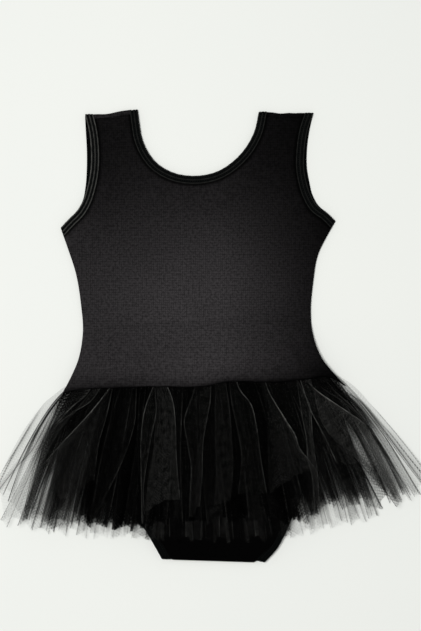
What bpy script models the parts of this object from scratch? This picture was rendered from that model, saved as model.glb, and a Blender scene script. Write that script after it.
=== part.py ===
"""A child's ballet tutu: a sleeveless jersey leotard with a skirt of three gathered net layers.

It lies flat on its back on a surface. Frame: metres, +Z up, +Y towards the neck, +X to the
viewer's right, origin on the surface under the middle of the whole piece.
The tables are in millimetres; every layer is laid on the pile of the pieces under it.
"""
import bpy
import bmesh
import numpy as np

MM = 0.001

# ---- cloth, millimetres ----
KNIT_WALL = 1.1        # doubled jersey of bodice and briefs
NET_WALL = 1.0         # one crimped layer of tulle
SEAM_GAP = 0.3
BACK_LOFT = 0.6        # over the back panel's waist edge
FRONT_LOFT = 2.4       # of the bodice front over the gathered tops
EDGE_GAP = 0.9         # between a panel's edge and the many-sided curve of its binding
NET_LOFT = 1.0         # air that stiff net keeps under what lies on it
KNIT_LOFT = 1.4        # and the briefs with their leg bindings
BIND_WIDTH = 8.5       # neck, arm and leg bindings
BIND_WALL = 2.2        # a binding is four thicknesses of jersey
LEG_BIND_WALL = 1.6
SHOULDER_ROLL = 5.5    # how far the back strap rolls over the shoulder on to the front
FOLD_ROOM = 2.4        # a binding turns over this far inside the outline
GATHER_TUCK = 5.0      # the gathered tops reach this far up under the bodice
LIFT_REACH = 75.0      # the gathers lift the bodice front over this distance
EDGE_RAMP = 14.0       # how quickly a layer comes down past an edge under it, at the waist
HEM_RAMP = 42.0        # and lower in the skirt
WAVE_FULL = 70.0       # the gathers open to full height this far below the seam
WAVE_SHUT = 0.12       # share of their height that they have at the seam
SIDE_LOSS = (3, 5)     # the sides slope in by this much over the tuck, left and right
CROTCH_CORNER = 11.5   # from the end of a leg opening to the panel, along the crotch
BIND_REACH = (24, 48)  # the front lies on the back's bindings up to here, then comes down
BIND_PRESS = 0.35      # the front panel lies this much lower than its binding's middle

# ---- outlines, millimetres: x, y ----
SIDE_LEFT = [(-158.5, -60.5), (-150, -44.5), (-142, -25.5), (-137.5, 3.5), (-139.5, 32),
             (-145, 65.5), (-153.5, 92), (-161, 113)]                    # waist to armpit
SIDE_RIGHT = [(137.5, -53), (126, -40.5), (112.5, -23.5), (103, 3.5), (101.5, 24.5),
              (104, 56), (109, 84.5), (118.5, 104.5), (127.5, 120)]
ARM_LEFT_BACK = [(-161, 113), (-152, 122.5), (-144, 130.5), (-137.5, 142.5), (-135, 155),
                 (-133.5, 176), (-133.5, 195), (-134.5, 213.5), (-135.5, 232.5)]  # to shoulder
ARM_LEFT_FRONT = [(-161, 113), (-152, 122.5), (-144, 130.5), (-137, 142.5), (-133, 155),
                  (-129.5, 174), (-129, 192.5), (-131, 213.5), (-135.5, 232.5)]
ARM_RIGHT_BACK = [(127.5, 120), (117.5, 129.5), (110, 136), (103, 148.5), (100, 161),
                  (97.5, 176), (97.5, 195), (100, 214.5), (104.5, 234)]
ARM_RIGHT_FRONT = [(127.5, 120), (117.5, 129.5), (109, 135.5), (101, 148.5), (97, 161),
                   (94.5, 176), (95, 195), (98, 214.5), (104.5, 234)]
NECK_FRONT = [(-80, 237.5), (-78, 222), (-75.5, 207.5), (-70.5, 195), (-60, 181), (-43, 171),
              (-20, 167.5), (3, 172), (22, 184.5), (34.5, 199), (42, 213.5), (47, 235)]
NECK_BACK = [(-80, 237.5), (-79, 222), (-77, 206), (-72, 191), (-61, 174.5), (-43, 162.5),
             (-20, 158), (3, 163.5), (23, 178), (36, 195), (43, 212), (47, 235)]
WAIST_SEAM = [(-158.5, -60.5), (-145, -57), (-122, -55.5), (-101, -54), (-77.5, -53),
              (-51.5, -52.5), (-14.5, -53.5), (-2, -51.5), (10.5, -48.5), (48.5, -48),
              (90.5, -46.5), (124, -44.5), (137.5, -53)]
BRIEFS_SIDE_LEFT = [(-124, -51), (-132, -83), (-136, -116)]              # waist to hip
BRIEFS_SIDE_RIGHT = [(101, -42), (110, -78), (115, -112)]
LEG_LEFT = [(-136, -116), (-116, -151), (-92, -182), (-71.5, -204), (-64, -217),
            (-54.5, -234.5)]                                             # hip to crotch
LEG_RIGHT = [(115, -112), (99, -150), (84, -185), (74.5, -207), (66, -223), (53, -238)]

# ---- the net layers: from the outside in ----
# name, side inset at the waist, wave height in front, wave height behind, folds in front, behind
LAYERS = [("tulle_top", 6, 4.8, 1.8, 0, 19),
          ("tulle_middle", 14.5, 2.3, 1.5, 22, 18),
          ("tulle_under", 24, 2.0, 1.5, 20, 17)]
SPREAD_LEFT = 0.62     # how soon a layer's side fans out: 1 is a straight edge
SPREAD_RIGHT = 0.78
SPREAD_REACH = 75      # for a fold whose hem lies this far out from its waist
NECK_SHARES = (0.30, 0.585)   # the straps' share of the neck, and the body's of the rest
# folds of the top layer in front: share across the waist, hem x, hem y, share of wave height
TOP_FOLDS = [(0, -227, -158, 0.4), (0.032, -218, -179, 0.7), (0.067, -206, -188, 0.8),
             (0.099, -190, -184, 1.0), (0.131, -160, -170, 0.7), (0.160, -140, -160, 0.6),
             (0.188, -123, -172, 0.7), (0.223, -107, -180, 0.9), (0.259, -91, -184, 0.6),
             (0.291, -75, -186, 1.0), (0.330, -64, -181, 0.4), (0.372, -38, -171, 1.0),
             (0.415, -27, -182, 0.8), (0.457, -16, -187, 0.6), (0.500, -7, -177, 1.0),
             (0.539, 2, -174, 0.5), (0.582, 17, -176, 0.8), (0.621, 34, -173, 0.6),
             (0.660, 53, -165, 1.0), (0.702, 70, -170, 0.7), (0.745, 87, -155, 0.6),
             (0.787, 103, -140, 1.0), (0.825, 114, -155, 0.8), (0.855, 128, -133, 1.0),
             (0.885, 146, -135, 0.5), (0.910, 171, -154, 0.8), (0.935, 190, -165, 1.0),
             (0.960, 207, -157, 0.7), (0.982, 218, -153, 0.6), (1, 227, -150, 0.4)]
# hems: x, y
HEM_TOP_BACK = [(-227, -158), (-193, -183), (-119, -178), (-14, -183), (90, -178),
                (174, -172), (227, -150)]
HEM_MIDDLE = [(-201, -198), (-174, -203), (-149, -197), (-98, -200), (-73, -201), (-46, -196),
              (-14, -198), (17, -194), (80, -196), (103, -201), (128, -181), (178, -173),
              (200, -168)]
HEM_UNDER = [(-182, -203), (-136, -208), (-111, -212), (-86, -210), (-56, -214), (27, -216),
             (70, -212), (115, -204), (140, -198), (172, -192)]
LAYER_ROWS = np.array([0, 0.055, 0.18, 0.4, 0.62, 0.82, 1])    # down the skirt, share of its length

BLACK_JERSEY = (0.022, 0.020, 0.021)
BLACK_BINDING = (0.014, 0.014, 0.014)
BLACK_NET = (0.010, 0.010, 0.011)

for old in list(bpy.data.objects):
    bpy.data.objects.remove(old, do_unlink=True)
garment = bpy.data.collections.new("ballet_tutu")
bpy.context.scene.collection.children.link(garment)


# ---- curves in plan ----

def smoothstep(t):
    t = np.clip(t, 0, 1)
    return t * t * (3 - 2 * t)


def resample(curve, count):
    """Count + 1 points at equal steps along a polyline."""
    along = np.r_[0, np.cumsum(np.linalg.norm(np.diff(curve, axis=0), axis=1))]
    steps = np.linspace(0, along[-1], count + 1)
    return np.column_stack([np.interp(steps, along, curve[:, i]) for i in range(curve.shape[1])])


def smooth(points, count=240):
    """A smooth curve through points: cubic pieces whose slopes come from the neighbours."""
    p = np.array(points, float)
    at = np.r_[0, np.cumsum(np.linalg.norm(np.diff(p, axis=0), axis=1))]
    slope = np.gradient(p, at, axis=0)
    t = np.linspace(0, at[-1], count + 1)
    i = np.clip(np.searchsorted(at, t, side="right") - 1, 0, len(p) - 2)
    h = (at[i + 1] - at[i])[:, None]
    u = (t - at[i])[:, None] / h
    curve = ((1 + 2 * u) * (1 - u) ** 2 * p[i] + u * (1 - u) ** 2 * h * slope[i]
             + u * u * (3 - 2 * u) * p[i + 1] + u * u * (u - 1) * h * slope[i + 1])
    return resample(curve, count)


def left_normals(curve):
    along = np.gradient(curve, axis=0)
    along /= np.linalg.norm(along, axis=1)[:, None]
    return np.column_stack([-along[:, 1], along[:, 0]])


def inset(curve, side, distance=BIND_WIDTH + EDGE_GAP, run_on=6.0):
    """The curve moved to its left (side 1) or right (side -1), its first end run on straight."""
    moved = curve + side * distance * left_normals(curve)
    start = moved[0] - moved[1]
    return np.vstack([moved[0] + start / np.linalg.norm(start) * run_on, moved])


def meet(first, second):
    """Two curves cut where they cross: first ends there and second starts there."""
    a, b = resample(first, 400), resample(second, 400)
    gap = np.linalg.norm(a[:, None] - b[None], axis=2)
    i, j = np.unravel_index(gap.argmin(), gap.shape)
    corner = (a[i] + b[j]) / 2
    return np.vstack([a[:i], corner]), np.vstack([corner, b[j + 1:]])


def split(curve, share):
    """A curve's two parts, cut at a share of its length."""
    fine = resample(curve, 400)
    at = int(round(share * 400))
    return fine[:at + 1], fine[at:]


def coons(bottom, top, left, right):
    """The grid, rows from bottom to top, that four boundary curves span."""
    u = np.linspace(0, 1, len(bottom))[None, :, None]
    v = np.linspace(0, 1, len(left))[:, None, None]
    rows = (1 - v) * bottom[None] + v * top[None]
    columns = (1 - u) * left[:, None] + u * right[:, None]
    corners = ((1 - v) * ((1 - u) * bottom[0] + u * bottom[-1])
               + v * ((1 - u) * top[0] + u * top[-1]))
    return rows + columns - corners


# ---- the pile: what has been laid so far, from the surface up ----

seam_curve = smooth(WAIST_SEAM)
pile = []


def seam_y(x):
    return np.interp(x, seam_curve[:, 0], seam_curve[:, 1])


def distance_inside(x, y, outline):
    """Distance from points to a closed outline, positive inside it."""
    p = np.column_stack([np.ravel(x), np.ravel(y)])
    a, b = outline, np.roll(outline, -1, axis=0)
    edge = b - a
    share = np.einsum("pes,es->pe", p[:, None] - a[None], edge) / np.maximum((edge ** 2).sum(1), 1e-9)
    nearest = a[None] + np.clip(share, 0, 1)[..., None] * edge[None]
    away = np.linalg.norm(p[:, None] - nearest, axis=2).min(axis=1)
    over = (a[None, :, 1] > p[:, None, 1]) != (b[None, :, 1] > p[:, None, 1])
    rise = np.where(edge[:, 1] == 0, 1e-9, edge[:, 1])
    cross = a[None, :, 0] + (p[:, None, 1] - a[None, :, 1]) * (edge[:, 0] / rise)[None]
    inside = (over & (p[:, None, 0] < cross)).sum(axis=1) % 2 == 1
    return np.where(inside, away, -away).reshape(np.shape(x))


def opening_out(x, y):
    """How far the gathers have opened at a point: a little at the seam, wholly lower down."""
    return WAVE_SHUT + (1 - WAVE_SHUT) * smoothstep((seam_y(x) - y) / WAVE_FULL)


def pile_height(x, y):
    """Height of all that has been laid, coming down in ramps past each piece's edge."""
    below = smoothstep((seam_y(x) - y) / 40)
    ramp = EDGE_RAMP + (HEM_RAMP - EDGE_RAMP) * below
    height = np.zeros(np.shape(x))
    for outline, band, wave in pile:
        share = smoothstep(1 + distance_inside(x, y, outline) / ramp)
        height = height + share * (band + wave * opening_out(x, y))
    return height


def lay(outline, band, wave=0.0):
    pile.append((np.asarray(outline), band, wave))


# ---- solids ----

def material(name, colour, roughness):
    made = bpy.data.materials.new(name)
    made.use_nodes = True
    shader = made.node_tree.nodes["Principled BSDF"]
    shader.inputs["Base Color"].default_value = (*colour, 1)
    shader.inputs["Roughness"].default_value = roughness
    return made


def add_object(name, mesh, surface):
    made = bpy.data.objects.new(name, mesh)
    garment.objects.link(made)
    mesh.materials.append(surface)
    return made


def cloth(name, grids, wall, colour, roughness, closed=False):
    """Grids of points (rows, columns, xyz in mm) joined into one sheet with an even wall."""
    points, faces = [], []
    for grid in grids:
        rows, columns = grid.shape[:2]
        index = np.arange(rows * columns).reshape(rows, columns) + len(points)
        points.extend((grid.reshape(-1, 3) * MM).tolist())
        right = np.roll(index, -1, axis=1) if closed else index[:, 1:]
        left = index if closed else index[:, :-1]
        quads = np.stack([left[:-1], right[:-1], right[1:], left[1:]], axis=-1)
        faces.extend(quads.reshape(-1, 4).tolist())
    mesh = bpy.data.meshes.new(name)
    mesh.from_pydata(points, [], faces)
    work = bmesh.new()
    work.from_mesh(mesh)
    bmesh.ops.remove_doubles(work, verts=work.verts, dist=0.00002)
    bmesh.ops.recalc_face_normals(work, faces=work.faces)
    work.to_mesh(mesh)
    work.free()
    made = add_object(name, mesh, material(name, colour, roughness))
    shell = made.modifiers.new("wall", "SOLIDIFY")
    shell.thickness = wall * MM
    shell.offset = 0
    shell.use_even_offset = True
    shell.use_quality_normals = True
    mesh.shade_smooth()
    return made


def binding(name, front, back, side, front_z, back_z, wall, flip_back=False):
    """A band that follows the front edge, folds over at its ends and comes back behind.

    front and back are the edge it covers, side says on which side of it the cloth lies, and
    the heights are those of the band's middle along each.
    """
    def fold(end, inward, out, top, bottom, steps=5):
        angle = np.linspace(0, np.pi, steps + 2)[1:-1]
        radius, middle = (top - bottom) / 2, (top + bottom) / 2
        here = np.column_stack([end[0] + out[0] * radius * np.sin(angle),
                                end[1] + out[1] * radius * np.sin(angle),
                                middle + radius * np.cos(angle)])
        up = np.column_stack([out[0] * np.sin(angle), out[1] * np.sin(angle), np.cos(angle)])
        return here, np.tile([*inward, 0], (steps, 1)), up

    def run(edge, z, up):
        count = len(edge)
        return (np.column_stack([edge, z]), np.column_stack([side * left_normals(edge), np.zeros(count)]),
                np.tile([0, 0, up], (count, 1)).astype(float))

    def direction(a, b):
        return (b - a) / np.linalg.norm(b - a)

    top, under = run(front, front_z, 1), run(back, back_z, -1)
    far = fold(front[-1], top[1][-1][:2], direction(front[-2], front[-1]), front_z[-1], back_z[-1])
    near = fold(front[0], top[1][0][:2], direction(front[1], front[0]), front_z[0], back_z[0])
    parts = [top, far, tuple(p[::-1] for p in under), tuple(p[::-1] for p in near)]
    where, inward, up = (np.vstack([p[i] for p in parts]) for i in range(3))
    half = wall / 2
    section = [(0, -0.45 * half), (0.7, -half), (BIND_WIDTH, -half), (BIND_WIDTH, half),
               (0.7, half), (0, 0.45 * half)]                            # inward, up
    rings = np.stack([where + a * inward + b * up for a, b in section], axis=1) * MM
    stations, sides = rings.shape[:2]
    index = np.arange(stations * sides).reshape(stations, sides)
    after, beside = np.roll(index, -1, axis=0), np.roll(index, -1, axis=1)
    quads = np.stack([index, after, np.roll(after, -1, axis=1), beside], axis=-1).reshape(-1, 4)
    mesh = bpy.data.meshes.new(name)
    mesh.from_pydata(rings.reshape(-1, 3).tolist(), [], quads.tolist())
    work = bmesh.new()
    work.from_mesh(mesh)
    bmesh.ops.recalc_face_normals(work, faces=work.faces)
    work.to_mesh(mesh)
    work.free()
    mesh.shade_smooth()
    mesh.set_sharp_from_angle(angle=0.7)
    return add_object(name, mesh, material(name, BLACK_BINDING, 0.7))


# ---- bodice ----

side_left, side_right = smooth(SIDE_LEFT), smooth(SIDE_RIGHT)
back_z = KNIT_WALL / 2
back_bind_z = BIND_WALL / 2
front_bind_z = 1.5 * BIND_WALL + SEAM_GAP


def up_to(curve, top):
    """A curve that rises at its end, cut where it reaches a height."""
    last = len(curve) - 1 - np.argmax(curve[::-1, 1] < top)
    rise = (top - curve[last, 1]) / (curve[last + 1, 1] - curve[last, 1])
    return np.vstack([curve[:last + 1], curve[last] + rise * (curve[last + 1] - curve[last])])


def between(curve, left_top, right_top):
    """A neck curve with both its ends cut at the heights given."""
    return up_to(up_to(curve, right_top)[::-1], left_top)[::-1]


def panel_grids(neck, arm_left, arm_right, room, strap=(6, 9), body_rows=12, neck_steps=10):
    """Three grids of plan points: the body, then the left and the right strap."""
    edge_left = up_to(inset(arm_left, -1), arm_left[-1, 1] - room)
    edge_right = up_to(inset(arm_right, 1), arm_right[-1, 1] - room)
    body_left, edge_left = meet(side_left, edge_left)
    body_right, edge_right = meet(side_right, edge_right)
    moved = neck - (BIND_WIDTH + EDGE_GAP) * left_normals(neck)
    moved = between(moved, neck[0, 1] - room, neck[-1, 1] - room)
    inner_left, rest = split(moved, NECK_SHARES[0])
    neck_bottom, inner_right = split(rest, NECK_SHARES[1])
    across, up = strap
    base_left = resample(np.array([edge_left[0], inner_left[-1]]), across)
    base_right = resample(np.array([inner_right[0], edge_right[0]]), across)
    middle = resample(neck_bottom, neck_steps)
    top = np.vstack([base_left, middle[1:], base_right[1:]])
    even = np.linspace(0, 1, len(top))
    closer = 1000 * (even - 0.06 * np.sin(2 * np.pi * even))       # closer at the side seams
    seam = resample(seam_curve, 1000)[closer.round().astype(int)]
    body = coons(seam, top, resample(body_left, body_rows), resample(body_right, body_rows))
    left = coons(base_left, resample(np.array([edge_left[-1], inner_left[0]]), across),
                 resample(edge_left, up), resample(inner_left[::-1], up))
    right = coons(base_right, resample(np.array([inner_right[-1], edge_right[-1]]), across),
                  resample(inner_right, up), resample(edge_right, up))
    return [body, left, right]


arm_left_back, arm_right_back = smooth(ARM_LEFT_BACK), smooth(ARM_RIGHT_BACK)
arm_left_front, arm_right_front = smooth(ARM_LEFT_FRONT), smooth(ARM_RIGHT_FRONT)
neck_front, neck_back = smooth(NECK_FRONT), smooth(NECK_BACK)
edges_front = np.vstack([arm_left_front, neck_front, arm_right_front])


def front_flat_z(x, y):
    """The front panel's middle height away from the gathers: it lies on the back panel, and
    on the back's bindings near the neck and the armholes."""
    away = np.linalg.norm(np.stack([x, y], -1)[..., None, :] - edges_front, axis=-1).min(axis=-1)
    lying = 1.5 * KNIT_WALL + SEAM_GAP
    near, far = BIND_REACH
    return lying + (front_bind_z - BIND_PRESS - lying) * smoothstep((far - away) / (far - near))


def side_x(y, side):
    return np.interp(y, side[:, 1], side[:, 0])


def front_z(x, y):
    """The front panel's middle height: flat, then lifted by the gathers towards the seam."""
    lying = KNIT_WALL + BACK_LOFT
    left, right = side_x(y, side_left), side_x(y, side_right)
    share = np.clip((x - left) / (right - left), 0, 1)
    at = side_left[0, 0] + share * (side_right[0, 0] - side_left[0, 0])
    gathers = pile_height(at, seam_y(at) - 1) - lying
    up = (y - seam_y(x) - GATHER_TUCK - 2) / (LIFT_REACH - GATHER_TUCK - 2)
    here = pile_height(x, y) - lying
    lift = np.maximum(gathers * (1 - smoothstep(up)), here)
    return front_flat_z(x, y) + lift + FRONT_LOFT * smoothstep(lift / 3)


def raised(grid, height):
    return np.dstack([grid, height(grid[..., 0], grid[..., 1])])


# ---- skirt ----

def layer_columns(folds, inset_x):
    """Paths from waist to hem at each fold's crest and at the trough between two folds."""
    folds = np.array(folds, float)
    troughs = (folds[1:] + folds[:-1]) / 2
    troughs[:, 3] = 0
    both = np.empty((len(folds) + len(troughs), 4))
    both[0::2], both[1::2] = folds, troughs
    first, last = side_left[0, 0] + SIDE_LOSS[0] + inset_x, side_right[0, 0] - SIDE_LOSS[1] - inset_x
    waist_x = first + both[:, 0] * (last - first)
    waist_y = seam_y(waist_x) + GATHER_TUCK
    hem_x, hem_y = both[:, 1], both[:, 2]
    out = (hem_x - waist_x) / SPREAD_REACH
    power = np.where(out < 0, 1 - (1 - SPREAD_LEFT) * np.clip(-out, 0, 1),
                     1 - (1 - SPREAD_RIGHT) * np.clip(out, 0, 1))
    rows = LAYER_ROWS[:, None]
    x = waist_x + (hem_x - waist_x) * rows ** power
    y = waist_y + (hem_y - waist_y) * rows
    return np.dstack([x, y]), both[:, 3]


def even_folds(hem, count, phase):
    """Uneven folds across a layer: share across the waist, hem x, hem y, share of height."""
    hem = np.array(hem)
    i = np.arange(count)
    share = np.r_[0, (i + 0.5 + 0.28 * np.sin(2.3 * i + phase)) / count, 1]
    x = hem[0, 0] + share * (hem[-1, 0] - hem[0, 0])
    y = np.interp(x, hem[:, 0], hem[:, 1])
    y[1:-1] += 2.0 * np.sin(3.1 * i + phase)
    height = np.r_[0.4, 0.72 + 0.28 * np.sin(1.9 * i + phase), 0.4]
    return np.column_stack([share, x, y, height])


def outline_of(plan):
    return np.vstack([plan[0], plan[1:-1, -1], plan[-1, ::-1], plan[-2:0:-1, 0]])


def lay_half(folds, inset_x, wave):
    """One half of a net layer, laid on the pile: its points, and then it joins the pile."""
    plan, share = layer_columns(folds, inset_x)
    x, y = plan[..., 0], plan[..., 1]
    z = pile_height(x, y) + NET_WALL / 2 + wave * share[None] * opening_out(x, y)
    lay(outline_of(plan), NET_WALL + NET_LOFT, wave)
    return np.dstack([x, y, z])


def side_fold(front, back, neighbour):
    """The net's turn from front to back at a side, pushed out by half the gap it crosses."""
    out = front[:, :2] - neighbour[:, :2]
    out /= np.linalg.norm(out, axis=1)[:, None]
    middle = (front + back) / 2
    middle[:, :2] += out * (front[:, 2:] - back[:, 2:]) / 2
    return middle[:, None]


def net_layer(name, front, back):
    """One ring of gathered net: the front half, a fold, the back half and a fold."""
    right = side_fold(front[:, -1], back[:, -1], front[:, -2])
    left = side_fold(front[:, 0], back[:, 0], front[:, 1])
    ring = np.concatenate([front, right, back[:, ::-1], left], axis=1)
    return cloth(name, [ring], NET_WALL, BLACK_NET, 0.6, closed=True)


def lay_bodice_back():
    """The back panel lies on the surface; its straps roll over the shoulders on to the front."""
    flat = panel_grids(neck_back, arm_left_back, arm_right_back, FOLD_ROOM, (4, 10), 5)
    grids = [np.dstack([g, np.full(g.shape[:2], back_z)]) for g in flat]
    roll = np.linspace(0, np.pi, 6)[1:]
    for i in (1, 2):
        last = grids[i][-1]
        radius = (front_flat_z(last[:, 0], last[:, 1]) - back_z) / 2
        drawn_in = last[:, 0] - np.linspace(-1, 1, len(last))
        over = [np.column_stack([drawn_in, last[:, 1] + radius * np.sin(a),
                                 back_z + radius * (1 - np.cos(a))]) for a in roll]
        end = over[-1] - [0, SHOULDER_ROLL - FOLD_ROOM - SEAM_GAP, 0]
        grids[i] = np.concatenate([grids[i], np.array(over + [end])])
    cloth("bodice_back", grids, KNIT_WALL, BLACK_JERSEY, 0.8)
    outline = np.vstack([seam_curve, side_right, arm_right_back, neck_back[::-1],
                         arm_left_back[::-1], side_left[::-1]])
    lay(outline[::3], KNIT_WALL + BACK_LOFT)


def briefs_side(leg, other_end, hip, turn):
    """A side of the briefs from the crotch to the waist: inside the leg binding, then the hip."""
    side, edge = meet(smooth(hip), inset(leg, turn))
    across = other_end - leg[-1]
    corner = leg[-1] + across / np.linalg.norm(across) * CROTCH_CORNER
    edge = np.vstack([edge[edge[:, 1] > corner[1] + 3], corner])
    return np.vstack([resample(edge[::-1], 10), resample(side[::-1], 3)[1:]])


def lay_briefs():
    """The briefs' back and front and the leg bindings that fold round both."""
    left, right = smooth(LEG_LEFT), smooth(LEG_RIGHT)
    side_a = briefs_side(left, right[-1], BRIEFS_SIDE_LEFT, 1)
    side_b = briefs_side(right, left[-1], BRIEFS_SIDE_RIGHT, -1)
    across = np.linspace(BRIEFS_SIDE_LEFT[0][0], BRIEFS_SIDE_RIGHT[0][0], 13)
    top = np.column_stack([across, seam_y(across) + GATHER_TUCK - 1])
    side_a[-1], side_b[-1] = top[0], top[-1]
    bottom = resample(np.array([side_a[0], side_b[0]]), 12)
    plan = coons(bottom, top, side_a, side_b)
    heights = {"left": [], "right": []}
    legs = {"left": (resample(left[6:-4], 15), 1), "right": (resample(right[6:-4], 15), -1)}
    for face in ("back", "front"):
        height = pile_height(plan[..., 0], plan[..., 1]) + LEG_BIND_WALL / 2
        cloth(f"briefs_{face}", [np.dstack([plan, height])], KNIT_WALL, BLACK_JERSEY, 0.8)
        for name, (path, turn) in legs.items():
            middle = path + turn * BIND_WIDTH / 2 * left_normals(path)
            heights[name].append(pile_height(middle[:, 0], middle[:, 1]) + LEG_BIND_WALL / 2)
        lay(np.vstack([left[::12], right[::-12], top[::-1]]), LEG_BIND_WALL + KNIT_LOFT)
    for name, (path, turn) in legs.items():
        back, front = heights[name]
        binding(f"leg_binding_{name}", path, path, turn, front, back, LEG_BIND_WALL)


def neck_and_arm_bindings():
    """One band round the neck and one round each armhole, over the front and under the back."""
    tops = neck_front[0, 1] - FOLD_ROOM, neck_front[-1, 1] - FOLD_ROOM
    neck = [resample(between(c, *tops), 30) for c in (neck_front, neck_back)]
    binding("neck_binding", neck[0], neck[1], -1, np.full(31, front_bind_z),
            np.full(31, back_bind_z), BIND_WALL)
    arms = {"left": (arm_left_front, arm_left_back, -1), "right": (arm_right_front, arm_right_back, 1)}
    for name, (front_edge, back_edge, turn) in arms.items():
        both = [resample(up_to(c, c[-1, 1] - FOLD_ROOM)[4:], 18) for c in (front_edge, back_edge)]
        binding(f"arm_binding_{name}", both[0], both[1], turn, np.full(19, front_bind_z),
                np.full(19, back_bind_z), BIND_WALL)


def build():
    """The pieces from the surface up; the net goes under the briefs and then over them."""
    lay_bodice_back()
    hems = {"tulle_top": HEM_TOP_BACK, "tulle_middle": HEM_MIDDLE, "tulle_under": HEM_UNDER}
    backs, fronts = {}, {}
    for phase, (name, inset_x, _, wave, _, count) in enumerate(LAYERS):
        backs[name] = lay_half(even_folds(hems[name], count, phase + 0.6), inset_x, wave)
    lay_briefs()
    for phase, (name, inset_x, wave, _, count, _) in enumerate(LAYERS[::-1]):
        folds = TOP_FOLDS if name == "tulle_top" else even_folds(hems[name], count, phase + 2.1)
        fronts[name] = lay_half(folds, inset_x, wave)
    for name in fronts:
        net_layer(name, fronts[name], backs[name])
    front = panel_grids(neck_front, arm_left_front, arm_right_front, SHOULDER_ROLL)
    cloth("bodice_front", [raised(g, front_z) for g in front], KNIT_WALL, BLACK_JERSEY, 0.8)
    neck_and_arm_bindings()


build()
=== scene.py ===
import math

import bmesh
import bpy
import numpy as np
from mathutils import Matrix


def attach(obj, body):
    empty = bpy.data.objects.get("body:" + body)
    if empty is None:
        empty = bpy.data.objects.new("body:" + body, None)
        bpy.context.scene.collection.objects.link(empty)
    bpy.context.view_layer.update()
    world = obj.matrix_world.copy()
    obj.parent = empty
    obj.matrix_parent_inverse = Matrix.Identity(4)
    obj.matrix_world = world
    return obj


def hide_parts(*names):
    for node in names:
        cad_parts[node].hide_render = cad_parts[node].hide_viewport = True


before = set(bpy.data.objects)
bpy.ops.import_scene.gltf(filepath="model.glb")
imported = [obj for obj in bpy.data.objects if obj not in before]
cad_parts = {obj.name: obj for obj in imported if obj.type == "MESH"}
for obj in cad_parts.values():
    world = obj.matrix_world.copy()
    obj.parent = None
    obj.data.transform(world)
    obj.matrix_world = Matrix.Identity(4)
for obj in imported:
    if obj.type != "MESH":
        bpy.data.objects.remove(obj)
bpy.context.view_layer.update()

# A child's ballet tutu laid flat on its back. All tables are in millimetres, in the frame of the
# CAD model: x to the right, y towards the neck, z up from the surface that it lies on.
mm = 0.001
scene = bpy.context.scene

knitWall = 1.1
netWall = 1.0
seamGap = 0.3
bindWidth = 8.5
bindOver = 2.4            # how far a binding reaches over the edge of its panel
edgeIn = bindWidth - bindOver
bindWall = 2.2
legBindWall = 1.6


# Curves and grids in plan.

def lengths(vectors):
    return np.linalg.norm(vectors, axis=-1)


def unit(vectors):
    return vectors / lengths(vectors)[..., None]


# How far along a polyline each of its points is.
def lengthAlong(curve):
    return np.r_[0, np.cumsum(lengths(np.diff(curve, axis=0)))]


# Points at equal steps along a polyline.
def resample(curve, count):
    along = lengthAlong(curve)
    steps = np.linspace(0, along[-1], count + 1)
    return np.column_stack([np.interp(steps, along, curve[:, i]) for i in range(curve.shape[1])])


# Cubic pieces through the points, which stand at the places "at" and have these slopes there.
def cubicThrough(points, slope, at, wanted):
    i = np.clip(np.searchsorted(at, wanted, side="right") - 1, 0, len(at) - 2)
    column = (-1, *[1] * (points.ndim - 1))
    step = (at[i + 1] - at[i]).reshape(column)
    u = (wanted - at[i]).reshape(column) / step
    return ((1 + 2 * u) * (1 - u) ** 2 * points[i] + u * (1 - u) ** 2 * step * slope[i]
            + u * u * (3 - 2 * u) * points[i + 1] + u * u * (u - 1) * step * slope[i + 1])


# A curve of cubic pieces, each point's slope being the mean of the slopes beside it.
def smoothCurve(points, count=240):
    points = np.array(points, float)
    at = lengthAlong(points)
    wanted = np.linspace(0, at[-1], count + 1)
    return resample(cubicThrough(points, np.gradient(points, at, axis=0), at, wanted), count)


def leftNormals(curve):
    along = unit(np.gradient(curve, axis=0))
    return np.column_stack([-along[:, 1], along[:, 0]])


# A panel's edge: the curve moved in, to its left where side is 1, its first end run on straight.
def insetCurve(curve, side, runOn=6.0):
    moved = curve + side * edgeIn * leftNormals(curve)
    return np.vstack([moved[0] + unit(moved[0] - moved[1]) * runOn, moved])


# Two curves cut where they come nearest, the first's end and the second's start on one corner.
def meetCurves(first, second, steps=400):
    a, b = resample(first, steps), resample(second, steps)
    gap = lengths(a[:, None] - b)
    i, j = np.unravel_index(gap.argmin(), gap.shape)
    corner = (a[i] + b[j]) / 2
    return np.vstack([a[:i], corner]), np.vstack([corner, b[j + 1:]])


def splitCurve(curve, share, steps=400):
    fine = resample(curve, steps)
    at = int(round(share * steps))
    return fine[:at + 1], fine[at:]


# A curve cut off at its last crossing of the height top.
def upTo(curve, top):
    last = len(curve) - 1 - np.argmax(curve[::-1, 1] < top)
    rise = (top - curve[last, 1]) / (curve[last + 1, 1] - curve[last, 1])
    return np.vstack([curve[:last + 1], curve[last] + rise * (curve[last + 1] - curve[last])])


def between(curve, leftTop, rightTop):
    return upTo(upTo(curve, rightTop)[::-1], leftTop)[::-1]


def atShares(curve, shares, steps=2000):
    return resample(curve, steps)[np.round(np.asarray(shares) * steps).astype(int)]


# Coons patch: ruled one way plus ruled the other way, less the bilinear patch of the corners.
def coonsPatch(bottom, top, left, right):
    u = np.linspace(0, 1, len(bottom))[None, :, None]
    v = np.linspace(0, 1, len(left))[:, None, None]
    rows = (1 - v) * bottom[None] + v * top[None]
    columns = (1 - u) * left[:, None] + u * right[:, None]
    corners = ((1 - v) * ((1 - u) * bottom[0] + u * bottom[-1])
               + v * ((1 - u) * top[0] + u * top[-1]))
    return rows + columns - corners


def smoothstep(t):
    t = np.clip(t, 0, 1)
    return t * t * (3 - 2 * t)


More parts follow.
